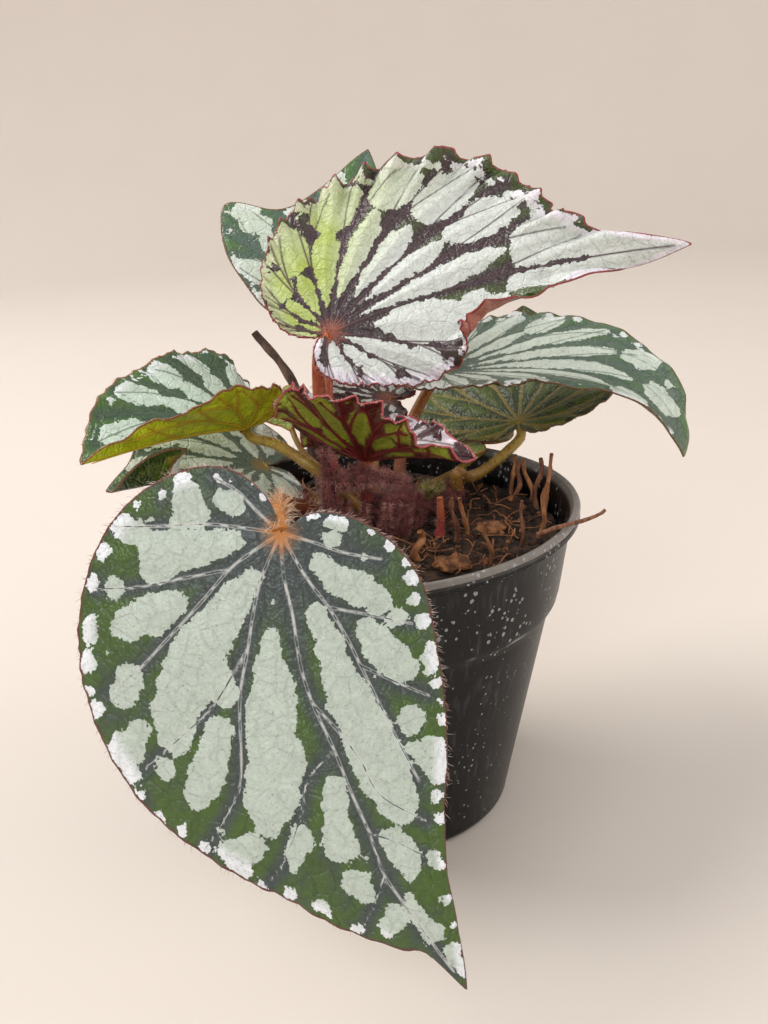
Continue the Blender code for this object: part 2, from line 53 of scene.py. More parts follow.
POT_HEIGHT = 0.085
POT_BASE_RADIUS = 0.034
POT_STEP_HEIGHT = 0.060
POT_STEP_RADIUS = 0.0475
POT_COLLAR_RADIUS = 0.0492
POT_RIM_RADIUS = 0.055
POT_WALL = 0.0012
POT_FOOT_ROUND = 0.003
POT_SIDES = 160
RIM_LIP_HEIGHT = 0.0035
RIM_LIP_WIDTH = 0.0016
DRAIN_HOLES = 6
DRAIN_RADIUS = 0.0035
DRAIN_RING_RADIUS = 0.022
SOIL_TOP = 0.0745
LITTER_RADIUS = 0.0495
CRUMBS = 620
BARK_CHIPS = 7

RHIZOME_LEFT = Vector((-0.013, 0.002, 0.0802))
RHIZOME_RIGHT = Vector((0.026, 0.016, 0.0800))
RHIZOME_RADIUS = 0.0042

BLADE_THICKNESS = 0.0008
MARGIN_THICKNESS = 0.0004
RIB_LEAN = 0.10

# Half outlines of a blade: (degrees from the midrib, share of the midrib's length).
BROAD_HALF = (
    (0, 1.00), (1, 0.92), (4, 0.86), (9, 0.80), (16, 0.72), (28, 0.65), (45, 0.585),
    (65, 0.50), (90, 0.385), (120, 0.255), (150, 0.15), (172, 0.05),
)
NARROW_HALF = (
    (0, 1.00), (2, 0.93), (4, 0.86), (7, 0.76), (11, 0.68), (20, 0.565), (35, 0.42),
    (60, 0.285), (90, 0.15), (118, 0.055),
)
TAILED_BROAD_HALF = (
    (0, 1.00), (2, 0.87), (5, 0.78), (10, 0.70), (20, 0.665), (35, 0.64), (55, 0.545),
    (75, 0.45), (100, 0.31), (125, 0.20), (150, 0.12), (172, 0.05),
)
TAILED_NARROW_HALF = (
    (0, 1.00), (2, 0.84), (6, 0.66), (12, 0.57), (20, 0.49), (30, 0.41), (45, 0.32),
    (60, 0.25), (80, 0.18), (105, 0.15), (135, 0.11), (172, 0.04),
)
LONG_BROAD_HALF = (
    (0, 1.00), (4, 0.95), (10, 0.88), (20, 0.73), (35, 0.57), (50, 0.47), (70, 0.40),
    (95, 0.28), (130, 0.16), (170, 0.05),
)
LONG_SLIM_HALF = (
    (0, 1.00), (4, 0.86), (10, 0.66), (20, 0.47), (35, 0.34), (50, 0.27), (70, 0.23),
    (95, 0.20), (130, 0.15), (170, 0.05),
)
FOLDED_HALF = (
    (0, 1.00), (8, 0.80), (20, 0.64), (40, 0.50), (65, 0.41), (90, 0.34), (120, 0.24),
    (150, 0.14), (170, 0.05),
)
SWOLLEN_HALF = (
    (0, 1.00), (8, 0.92), (20, 0.83), (40, 0.69), (65, 0.60), (90, 0.60), (105, 0.61),
    (115, 0.57), (140, 0.36), (170, 0.08),
)
LOBED_HALF = (
    (0, 1.00), (10, 0.78), (25, 0.62), (45, 0.61), (60, 0.78), (70, 0.70), (80, 0.61),
    (95, 0.48), (125, 0.35), (150, 0.24), (170, 0.08),
)
HEART_HALF = (
    (0, 1.00), (8, 0.80), (20, 0.64), (40, 0.52), (65, 0.45), (90, 0.40), (120, 0.33),
    (150, 0.23), (170, 0.06),
)
ROUND_HALF = (
    (0, 1.00), (10, 0.84), (25, 0.76), (45, 0.72), (70, 0.66), (95, 0.58), (125, 0.46),
    (150, 0.32), (170, 0.08),
)
SHALLOW_HALF = (
    (0, 1.00), (10, 0.84), (25, 0.76), (45, 0.70), (70, 0.60), (95, 0.44), (120, 0.26),
    (150, 0.15), (170, 0.06),
)

LEAVES = {
    "front": dict(
        junction=(-0.0162, -0.078, 0.1087), tip=(0.0132, -0.102, 0.0198),
        facing=(0.05, -0.95, 0.28), left=NARROW_HALF, right=BROAD_HALF,
        sweep=24, droop=10, fold=(-4, -4), arch=(-30, -25),
    ),
    "top": dict(
        junction=(-0.0057, 0.0, 0.1302), tip=(0.0834, -0.005, 0.1461),
        facing=(-0.1, -0.6, 0.8), left=TAILED_BROAD_HALF, right=TAILED_NARROW_HALF,
        sweep=-34, droop=-10, fold=(12, -20), ruffle=(0.015, 9), curl=(-20, 18, 160, 0.70),
    ),
    "left": dict(
        junction=(-0.0298, 0.006, 0.1062), tip=(-0.0650, -0.026, 0.1083),
        facing=(0.0, 0.0, 1.0), left=FOLDED_HALF, right=SWOLLEN_HALF,
        sweep=-10, droop=20, fold=(45, 36), ruffle=(0.02, 9),
    ),
    "left_low": dict(
        junction=(-0.0264, 0.008, 0.0944), tip=(-0.0625, -0.016, 0.0985),
        facing=(0.0, -0.4, 0.92), left=SHALLOW_HALF, right=ROUND_HALF,
        droop=15, fold=(5, 5), curl=(10, 9, 150, 0.62),
    ),
    "right": dict(
        junction=(0.0230, 0.030, 0.1111), tip=(0.0828, 0.0, 0.0910),
        facing=(0.1, -0.3, 0.93), left=LONG_BROAD_HALF, right=LONG_SLIM_HALF,
        sweep=-8, droop=95, droop_power=3, fold=(8, 14), arch=(0, -40),
    ),
    "right_low": dict(
        junction=(0.0454, 0.035, 0.0940), tip=(0.055, 0.085, 0.118),
        facing=(0.0, 0.6, 0.8), left=SHALLOW_HALF, right=SHALLOW_HALF,
        droop=-15, fold=(5, 5),
    ),
    "young": dict(
        junction=(0.0008, -0.008, 0.0997), tip=(0.0246, -0.046, 0.1098),
        facing=(0.0, 0.0, 1.0), left=NARROW_HALF, right=ROUND_HALF,
        droop=10, fold=(40, 45), ruffle=(0.03, 8),
    ),
    "frilled": dict(
        junction=(0.0082, 0.030, 0.1047), tip=(-0.0128, 0.035, 0.1095),
        facing=(0.0, -0.3, 0.95), left=ROUND_HALF, right=ROUND_HALF,
        ruffle=(0.04, 9),
    ),
    "back": dict(
        junction=(-0.0058, 0.035, 0.1343), tip=(0.0078, 0.070, 0.1695),
        facing=(0.0, -0.7, 0.7), left=LOBED_HALF, right=HEART_HALF, fold=(8, 0),
    ),
    "small": dict(
        junction=(-0.0219, 0.030, 0.1068), tip=(-0.0194, 0.022, 0.0994),
        facing=(0.0, -0.9, 0.4), left=ROUND_HALF, right=ROUND_HALF,
    ),
    "low_rim": dict(
        junction=(0.0330, 0.0350, 0.0890), tip=(0.0180, 0.0530, 0.0900),
        facing=(0.0, -0.1, 1.0), left=ROUND_HALF, right=ROUND_HALF,
    ),
}

# Where along the rhizome a stalk springs, the way it leaves, the points it passes, its radii.
STALKS = {
    "front": (
        0.02, (-0.2, -0.8, 0.4),
        ((-0.0177, -0.0176, 0.0922), (-0.0190, -0.0400, 0.1015), (-0.0175, -0.0600, 0.1070)),
        0.0020, 0.0016,
    ),
    "top": (0.14, (-0.1, 0.1, 1.0), ((-0.0100, 0.0060, 0.102), (-0.0100, 0.0060, 0.116)), 0.0020, 0.0014),
    "left": (
        0.24, (-0.2, -0.9, 0.35),
        ((-0.0085, -0.0035, 0.0925), (-0.0151, -0.0030, 0.0985), (-0.0221, 0.0020, 0.1020)),
        0.0016, 0.0013,
    ),
    "left_low": (0.02, (-0.2, 0.8, 0.6), ((-0.0185, 0.0065, 0.0885),), 0.0016, 0.0013),
    "right": (0.62, (0.0, 0.6, 0.8), ((0.0120, 0.0210, 0.0960),), 0.0018, 0.0014),
    "right_low": (
        0.96, (0.0, -0.4, 0.9),
        ((0.0290, 0.0190, 0.0835), (0.0348, 0.0250, 0.0838), (0.0416, 0.0305, 0.0868)),
        0.0017, 0.0013,
    ),
    "young": (0.34, (-0.3, -0.2, 1.0), ((0.0005, 0.0030, 0.0890),), 0.0017, 0.0014),
    "frilled": (0.45, (0.0, 0.9, 0.5), ((0.0040, 0.0200, 0.0920),), 0.0012, 0.0010),
    "back": (
        0.20, (-0.2, 1.0, 0.6),
        ((-0.0085, 0.0150, 0.0980), (-0.0080, 0.0240, 0.1150)),
        0.0017, 0.0013,
    ),
    "small": (
        0.33, (-0.2, 1.0, 0.5),
        ((-0.0160, 0.0240, 0.0920), (-0.0205, 0.0345, 0.1000)),
        0.0009, 0.0007,
    ),
    "low_rim": (0.85, (0.1, 1.0, 0.3), ((0.0260, 0.0290, 0.0820),), 0.0011, 0.0009),
}

DRY_STEMS = (
    ((0.041, 0.020), (0.0440, 0.0205, 0.0866), 0.0008),
    ((0.046, 0.017), (0.0440, 0.0165, 0.0885), 0.0007),
    ((0.041, 0.022), (0.0425, 0.0225, 0.0880), 0.0007),
    ((0.0465, 0.0115), (0.0478, 0.0118, 0.0900), 0.0008),
    ((0.0475, 0.006), (0.0497, 0.0060, 0.0930), 0.0007),
    ((0.042, -0.012), (0.0455, -0.0120, 0.0915), 0.0007),
    ((0.022, -0.010), (0.0215, -0.0120, 0.0890), 0.0008),
    ((0.026, -0.004), (0.0240, -0.0040, 0.0860), 0.0007),
    ((0.029, -0.023), (0.0282, -0.0240, 0.0865), 0.0006),
    ((0.038, -0.015), (0.0385, -0.0150, 0.0882), 0.0006),
    ((0.012, -0.018), (0.0128, -0.0190, 0.0835), 0.0011),
    ((0.005, 0.030), (0.0020, 0.0330, 0.0860), 0.0009),
)

# The twig over the rim, the two tall stipules, the red shoot, the old stalk and the bud's tip.
TWIG = (
    (0.0395, -0.0300, 0.0850), (0.0455, -0.0285, 0.0861), (0.0520, -0.0255, 0.0861),
    (0.0560, -0.0235, 0.0866), (0.0572, -0.0236, 0.0876),
)
STIPULE_TALL = ((-0.0084, -0.0110, 0.0762), (-0.0091, -0.0106, 0.0900), (-0.0090, -0.0102, 0.1040))
STIPULE_LONG = ((-0.0074, -0.0113, 0.0955), (0.0020, -0.0130, 0.0965), (0.0110, -0.0115, 0.0935))
SHOOT = ((0.0185, -0.0040, 0.0760), (0.0190, -0.0040, 0.0810), (0.0190, -0.0040, 0.0865))
OLD_STALK = ((-0.0120, 0.0300, 0.0765), (-0.0178, 0.0400, 0.1065), (-0.0285, 0.0460, 0.1225))
BUD_TIP = (0.0200, 0.0020, 0.0875)

# --- fur and scales -------------------------------------------------------------------------

HAIR_RADIUS = 0.00008
MARGIN_HAIR_RADIUS = 0.00006
HAIR_CURL = 0.35
HAIR_LEAN = 0.2
HAIR_SEGMENTS = 3

# Each stalk's skin, its hairs' count, length in mm and reach as a share of the stalk, their colour.
STALK_COATS = {
    "front": ("stalk_amber", 520, 3.4, 1.0, "hair_amber"), "top": ("stalk_red", 500, 1.4, 0.6, "hair_pink"),
    "left": ("stalk_mustard", 350, 1.3, 0.8, "hair_amber"),
    "left_low": ("stalk_mustard", 250, 1.2, 1.0, "hair_amber"),
    "right": ("stalk_amber", 300, 1.2, 1.0, "hair_amber"),
    "right_low": ("stalk_mustard", 260, 0.9, 0.9, "hair_amber"),
    "young": ("stalk_red", 900, 2.0, 1.0, "hair_pink"),
    "frilled": ("stalk_mustard", 160, 0.9, 1.0, "hair_amber"),
    "back": ("stalk_red", 450, 1.4, 0.7, "hair_pink"), "small": ("stalk_mustard", 90, 0.7, 1.0, "hair_amber"),
    "low_rim": ("stalk_mustard", 90, 0.7, 1.0, "hair_amber"),
}

# The crown's small scales: foot x, y, top height, how far the top leans in x and y, thickness.
SCALE_FOOT = 0.0765
SCALES = (
    (-0.0130, -0.0060, 0.0930, -0.0020, -0.0030, 0.0019),
    (-0.0060, -0.0080, 0.0900, 0.0010, -0.0020, 0.0021),
    (-0.0015, -0.0070, 0.0880, 0.0010, -0.0010, 0.0018),
    (0.0040, -0.0050, 0.0865, 0.0015, -0.0010, 0.0016),
    (-0.0165, -0.0020, 0.0890, -0.0020, 0.0000, 0.0017),
    (0.0090, -0.0020, 0.0850, 0.0010, -0.0015, 0.0016),
    (-0.0050, 0.0100, 0.0900, 0.0000, 0.0010, 0.0018),
    (0.0130, 0.0040, 0.0860, 0.0010, -0.0005, 0.0016),
)

# --- how each leaf is marked ----------------------------------------------------------------

# Every leaf: rings and spokes of its mesh; ribs, the angles of its main veins; forks, how
# many degrees a branch parts from its rib; quilt, (height in mm, reach in mm) of the swellings
# between veins; frill, (height, depth, waves per degree) of the crisped margin.
# Silver patches fill `fill` of the gap between two ribs from share start to end, each piece
# long by `long`, with `broken` between them; tail, the pale patches that run on to the tip as
# (side of the midrib or 0, share from, share to, radius share); blots, how many small pale
# spots. hairs, (count, length in mm) along the margin; turned, for a blade that hangs over so
# that the look of its under side is on the upper mesh. The front leaf's veins and patches are
# written out one by one.
MARKS = {
    "front": dict(grid=(90, 300), quilt=(0.5, 2.6), frill=(0.003, 0.006, 22.0), hairs=(520, 1.9)),
    "top": dict(
        grid=(90, 460), ribs=(-130, -88, -56, -32, 0, 15, 30, 46, 64, 84, 106, 130, 155),
        forks=6, quilt=(1.3, 3.0), frill=(0.030, 0.036, 20.0),
        fill=0.94, start=0.16, end=0.89, long=(0.30, 0.60), broken=0.03, blots=200, hairs=(300, 0.9),
        tail=((1, 0.55, 0.82, 0.040), (-1, 0.52, 0.84, 0.032), (0, 0.76, 0.99, 0.030)),
    ),
    "left": dict(
        grid=(60, 220), ribs=(-150, -110, -75, -45, -20, 0, 20, 45, 75, 110, 150), forks=12,
        quilt=(0.6, 2.4), frill=(0.014, 0.016, 13.0),
        fill=0.86, start=0.22, end=0.88, long=(0.20, 0.45), broken=0.05, blots=120, hairs=(200, 1.2),
    ),
    "left_low": dict(
        grid=(60, 200), ribs=(-150, -112, -76, -46, -22, 0, 22, 46, 76, 112, 150), forks=12,
        quilt=(0.6, 2.4), fill=0.86, start=0.18, end=0.94, long=(0.3, 0.6), broken=0.03, blots=40,
        hairs=(120, 1.0),
    ),
    "right": dict(
        grid=(80, 280), ribs=(-130, -92, -62, -40, -24, -11, 0, 10, 22, 36, 54, 78, 115), forks=8,
        quilt=(0.7, 2.6), frill=(0.010, 0.012, 14.0),
        fill=0.84, start=0.14, end=0.90, long=(0.40, 0.8), broken=0.04, blots=90, hairs=(220, 0.9),
    ),
    "right_low": dict(
        grid=(50, 200), ribs=(-140, -105, -75, -48, -24, 0, 24, 48, 75, 105, 140), forks=12,
        quilt=(0.8, 2.6), frill=(0.012, 0.012, 12.0), turned=True,
        fill=0.60, start=0.25, end=0.86, long=(0.2, 0.5), broken=0.06, blots=40, hairs=(120, 0.8),
    ),
    "young": dict(
        grid=(60, 240), ribs=(-135, -105, -78, -52, -30, -12, 0, 14, 34, 60, 90), forks=10,
        quilt=(0.8, 2.2), frill=(0.030, 0.03, 15.0),
        fill=0.80, start=0.22, end=0.94, long=(0.3, 0.6), broken=0.03, blots=50, hairs=(420, 1.2),
    ),
    "frilled": dict(
        grid=(50, 260), ribs=(-140, -105, -72, -45, -20, 0, 20, 45, 72, 105, 140), forks=10,
        quilt=(0.7, 2.0), frill=(0.05, 0.04, 14.0),
        fill=0.66, start=0.25, end=0.9, long=(0.2, 0.4), broken=0.08, blots=40, hairs=(160, 0.8),
    ),
    "back": dict(
        grid=(60, 220), ribs=(-145, -110, -76, -46, -22, 0, 22, 46, 76, 110, 145), forks=12,
        quilt=(0.6, 2.4), fill=0.90, start=0.12, end=0.97, long=(0.4, 0.8), broken=0.02, blots=60,
        hairs=(120, 0.8),
    ),
    "small": dict(
        grid=(24, 80), ribs=(-110, -60, -25, 0, 25, 60, 110), forks=12, quilt=(0.2, 1.0),
        fill=0.6, start=0.3, end=0.8, long=(0.2, 0.4), broken=0.1, blots=12, hairs=(60, 0.6),
    ),
    "low_rim": dict(
        grid=(30, 100), ribs=(-130, -85, -45, -18, 0, 18, 45, 85, 130), forks=12, quilt=(0.3, 1.6),
        fill=0.5, start=0.3, end=0.85, long=(0.2, 0.4), broken=0.1, blots=16, hairs=(60, 0.6),
    ),
}

# The front leaf's main veins, as (forward, sideways) in hundredths of its midrib's length.
FRONT_VEINS = (
    (
        (0, 0), (8, -1), (16, -1), (25, -2), (33, -2), (43, -1), (52, -1), (61, -1), (70, -2), (80, -1),
        (95, 0),
    ),
    ((0, 0), (-3, -10), (-4, -15), (-5, -25), (-6, -32)),
    ((0, 0), (3, -7), (5, -11), (10, -18), (15, -26), (19, -33), (22, -41)),
    ((5, -11), (5, -21), (5, -30), (4, -38)),
    ((0, 0), (9, -6), (20, -11), (28, -15), (37, -18), (44, -21), (50, -28), (53, -33)),
    ((20, -11), (28, -20), (32, -28), (36, -38)),
    ((0, 0), (9, 3), (16, 6), (23, 8), (29, 9), (36, 10), (45, 11), (56, 12)),
    ((16, 6), (18, 10), (20, 14), (24, 21)),
    ((0, 0), (3, 6), (6, 11), (9, 18)),
    ((29, 9), (34, 14), (40, 20)),
    ((33, -2), (40, 1), (47, 3), (55, 4), (64, 10)),
    ((43, -1), (47, -8), (53, -12), (60, -19), (63, -24)),
    ((61, -1), (65, 3), (71, 7)),
    ((70, -2), (74, -6), (78, -11)),
    ((0, 0), (-5, -4), (-9, -7), (-12, -11)),
)

# Its silver patches: chains of (forward, sideways, radius) in the same hundredths.
FRONT_PATCHES = (
    ((-12, -17, 2), (-9, -17, 3.2), (-6, -16, 3.2), (-5, -19, 2)),
    ((-8, -10, 2), (-7, -8.5, 2.4), (-6, -8, 2)),
    ((0, -9, 2.2), (0, -14, 3.5), (0, -19, 4), (0, -24, 4.4), (2, -25, 3.5)),
    ((-5.5, -30, 2.8), (-4, -27, 2.4)),
    ((9, -23, 3), (10, -27, 4), (11, -33, 3.2), (11, -35, 2)),
    ((20, -35, 2.8), (22, -37, 3.3), (22.5, -39, 2)),
    (
        (7, -6, 1.5), (10, -11, 3.4), (14.5, -15.5, 4.4), (18, -20, 5.2), (23, -24, 5.8), (27, -28, 5),
        (32, -30, 3.6), (34, -30.5, 2),
    ),
    ((24, -19, 4.6), (27, -17.5, 2.8)),
    ((37, -34, 2.4),),
    ((32, -40, 3.6), (29.5, -36, 2.3), (32.5, -43, 2.6)),
    ((36.5, -41, 2.2),),
    ((33, -21, 3), (36.5, -23.5, 3.5), (41, -27, 3.8), (43, -29.5, 3)),
    (
        (19, -6, 1.9), (23, -7.5, 2.9), (29, -8.5, 4.8), (36, -11.5, 5.3), (42, -12.5, 5.9), (48, -16, 5.6),
        (52, -18.5, 3.2),
    ),
    ((17, 3.5, 2.6), (20.5, 4, 2.8), (28, 4.5, 3.3), (35, 5, 4.7), (43, 6, 5.3), (52, 6.5, 5.7), (58.5, 7, 4)),
    ((7, 6, 2), (11, 9, 3.4), (14.5, 13, 3.8), (17.5, 16, 3)),
    ((22.5, 12, 2.8), (27, 14, 4), (32, 16.5, 3.8)),
    ((43, 15, 3.3),),
    ((50, -3.5, 2.6), (55, -5.5, 2.9), (61, -7, 3.7)),
    ((69, -7.5, 3.4), (72, -7, 2)),
    ((57, -13.5, 2.8), (59, -16, 2.4), (61.5, -17.5, 1.2)),
    ((64, 2.5, 2.9), (68.5, 3.5, 3.4), (71.5, 3, 2.2)),
    ((78.5, -4, 3), (80.5, -7, 1.8)),
    ((76.5, 0, 1.4), (82, 0, 2), (85, 0.5, 2.8)),
    ((3, 9.5, 2.2),),
    ((0, 11.5, 2.1), (0, 9.5, 1.4)),
    ((55, -23.5, 3.2), (55, -28, 2.8), (58.5, -27, 2.3)),
    ((51, 16.5, 3.4), (56, 16.5, 2.8), (49, 13.5, 2)),
    ((32, 22.5, 2.4), (30, 23.5, 1.8), (35, 21.5, 1.5)),
    ((11, -41, 2.1), (9, -40, 1.5)),
    ((16, -43, 2.2),),
    ((4.5, -34, 2.4),),
    ((3, -38.5, 1.7),),
    ((24, -44, 2),),
    ((-2, -35, 1.8),),
    ((21, -44.5, 1.4),),
    ((22, 18.5, 2.5),), ((24, 23, 1.9),), ((19, 22.5, 1.4),), ((14.5, 23, 1.8),), ((6.5, 20, 1.6),),
    ((11, 22.5, 1),), ((38, 22, 1.6),), ((46, 21, 1.5),), ((42, 22, 1),), ((60.5, 14, 1.7),),
    ((65, 12.5, 1.7),), ((71.5, 8, 1.8), (74, 8.5, 1.3)), ((80.5, 6.5, 1.4),), ((86.5, 4.5, 1.2),),
    ((62.5, -25, 1.4),), ((66, -20.5, 1.7),), ((70, -16, 1.7), (72.5, -15.5, 1)), ((77.5, -12, 1.6),),
    ((48.5, -35.5, 1.5),), ((45, -39, 1.5),), ((52.5, -32.5, 1.5),), ((40, -40.5, 1.1),),
    ((90, 2, 1.8), (96, 1.5, 1.2)), ((-10.5, -21.5, 1.1),), ((-6, -24.5, 0.7),), ((-12, -10.5, 0.8),),
    ((-11, -8, 0.8),), ((-10, -4, 0.9),), ((-7.5, -2, 1.3),), ((8, 15, 0.8),), ((9, 17.5, 0.5),),
    ((-2, 6, 1), (-2, 7, 0.7)), ((12.5, -4, 0.5),), ((65.5, -4, 0.8),), ((32, 11, 0.6),),
    ((50.5, -28.5, 1),), ((3, 17, 0.8),), ((-9, -27, 1.1),), ((15, -38.5, 0.5),), ((71, -12.5, 0.5),),
)

# Colours, as the eye would name them in linear light.
# Each look's lime is painted light: the glow of light shining through the blade, used where a blade's lime
# attribute is set.
LEAF_LOOKS = {
    "slate": dict(
        # Slate ground, the dark zone by the veins: its blue-grey is partly the leaf's own dark colour, partly
        # painted sheen.
        ground=(0.045, 0.062, 0.062), green=(0.055, 0.112, 0.016), silver=(0.49, 0.57, 0.50),
        pale=(0.80, 0.84, 0.88), lime=(0.45, 0.55, 0.20), vein=(0.66, 0.68, 0.66), edge=(0.13, 0.035, 0.03),
        glow=(0.50, 0.20, 0.05), under=(0.10, 0.15, 0.05), under_patch=(0.20, 0.26, 0.12),
        under_vein=(0.30, 0.14, 0.05),
    ),
    "plum": dict(
        ground=(0.042, 0.022, 0.026), green=(0.060, 0.095, 0.020), silver=(0.62, 0.66, 0.62),
        pale=(0.78, 0.74, 0.80), lime=(0.40, 0.50, 0.10), vein=(0.07, 0.03, 0.035), edge=(0.28, 0.04, 0.04),
        glow=(0.25, 0.07, 0.04), under=(0.30, 0.07, 0.045), under_patch=(0.42, 0.15, 0.11),
        under_vein=(0.22, 0.03, 0.03),
    ),
    "moss": dict(
        ground=(0.050, 0.095, 0.050), green=(0.070, 0.150, 0.030), silver=(0.55, 0.66, 0.55),
        pale=(0.76, 0.82, 0.80), lime=(0.45, 0.55, 0.20), vein=(0.10, 0.13, 0.09), edge=(0.22, 0.07, 0.02),
        # Painted light: under and under_patch here are the underside's own yellow-green, raised to a bright
        # lime to paint light onto the folded blade; partly real colour, partly painted light.
        glow=(0.30, 0.22, 0.04), under=(0.40, 0.47, 0.008), under_patch=(0.54, 0.60, 0.012),
        under_vein=(0.46, 0.34, 0.01),
    ),
    "sage": dict(
        ground=(0.085, 0.135, 0.100), green=(0.080, 0.170, 0.050), silver=(0.58, 0.67, 0.58),
        pale=(0.74, 0.80, 0.78), lime=(0.45, 0.55, 0.20), vein=(0.11, 0.15, 0.11), edge=(0.14, 0.06, 0.02),
        glow=(0.25, 0.16, 0.05), under=(0.026, 0.048, 0.004), under_patch=(0.07, 0.11, 0.006),
        under_vein=(0.22, 0.17, 0.02),
    ),
    "maroon": dict(
        ground=(0.05, 0.02, 0.025), green=(0.06, 0.045, 0.03), silver=(0.55, 0.52, 0.54),
        pale=(0.74, 0.66, 0.70), lime=(0.40, 0.48, 0.15), vein=(0.10, 0.03, 0.04), edge=(0.38, 0.06, 0.07),
        glow=(0.25, 0.07, 0.04), under=(0.10, 0.018, 0.014), under_patch=(0.30, 0.34, 0.03),
        under_vein=(0.17, 0.012, 0.014),
    ),
    "lime": dict(
        ground=(0.22, 0.33, 0.04), green=(0.30, 0.38, 0.04), silver=(0.50, 0.60, 0.35),
        pale=(0.66, 0.74, 0.60), lime=(0.42, 0.50, 0.10), vein=(0.36, 0.34, 0.05), edge=(0.45, 0.16, 0.02),
        glow=(0.45, 0.20, 0.03), under=(0.24, 0.32, 0.03), under_patch=(0.32, 0.38, 0.06),
        under_vein=(0.40, 0.24, 0.04),
    ),
}
LEAF_LOOK = {
    "front": "slate", "top": "plum", "left": "moss", "left_low": "sage", "right": "sage",
    "right_low": "sage", "young": "maroon", "frilled": "plum", "back": "sage", "small": "lime",
    "low_rim": "lime",
}


# Hairs, fur, soil and dry stems: dark and pale colour, grain in mm, roughness, bump, stretch.
ALONG = (1.0, 1.0, 0.3)
MOTTLED = (
    ("edge_hair", (0.42, 0.25, 0.20), (0.75, 0.66, 0.58), 0.2, 0.6, 0.0),
    ("hair_amber", (0.60, 0.32, 0.16), (0.88, 0.74, 0.58), 0.25, 0.6, 0.0),
    ("hair_pink", (0.22, 0.06, 0.06), (0.62, 0.31, 0.28), 0.25, 0.6, 0.0),
    ("hair_maroon", (0.09, 0.030, 0.028), (0.36, 0.17, 0.15), 0.3, 0.7, 0.0),
    ("hair_olive", (0.22, 0.17, 0.05), (0.52, 0.46, 0.18), 0.3, 0.7, 0.0),
    ("fuzzy_maroon", (0.07, 0.022, 0.020), (0.24, 0.07, 0.06), 0.5, 0.85, 0.4),
    ("bud_olive", (0.10, 0.08, 0.02), (0.34, 0.31, 0.08), 0.6, 0.85, 0.4),
    ("soil", (0.010, 0.006, 0.004), (0.075, 0.038, 0.020), 0.35, 0.95, 0.5),
    ("bark", (0.09, 0.035, 0.015), (0.38, 0.16, 0.06), 0.6, 0.9, 0.35, (1.0, 0.35, 1.0)),
    ("dry_orange", (0.20, 0.07, 0.025), (0.50, 0.22, 0.09), 0.5, 0.8, 0.15, ALONG),
    ("dry_brown", (0.10, 0.035, 0.018), (0.32, 0.14, 0.07), 0.5, 0.8, 0.15, ALONG),
    ("dry_grey", (0.055, 0.030, 0.025), (0.17, 0.10, 0.07), 0.4, 0.8, 0.2, ALONG),
)
# Fresh stalks: the three colours that stalk_material mixes.
FLESHY = (
    ("stalk_amber", (0.20, 0.05, 0.02), (0.46, 0.19, 0.045), (0.30, 0.05, 0.03)),
    ("stalk_mustard", (0.30, 0.15, 0.03), (0.42, 0.30, 0.05), (0.30, 0.11, 0.03)),
    ("stalk_red", (0.34, 0.05, 0.045), (0.52, 0.15, 0.05), (0.36, 0.03, 0.04)),
)


# --- materials ------------------------------------------------------------------------------

MATERIALS = {}



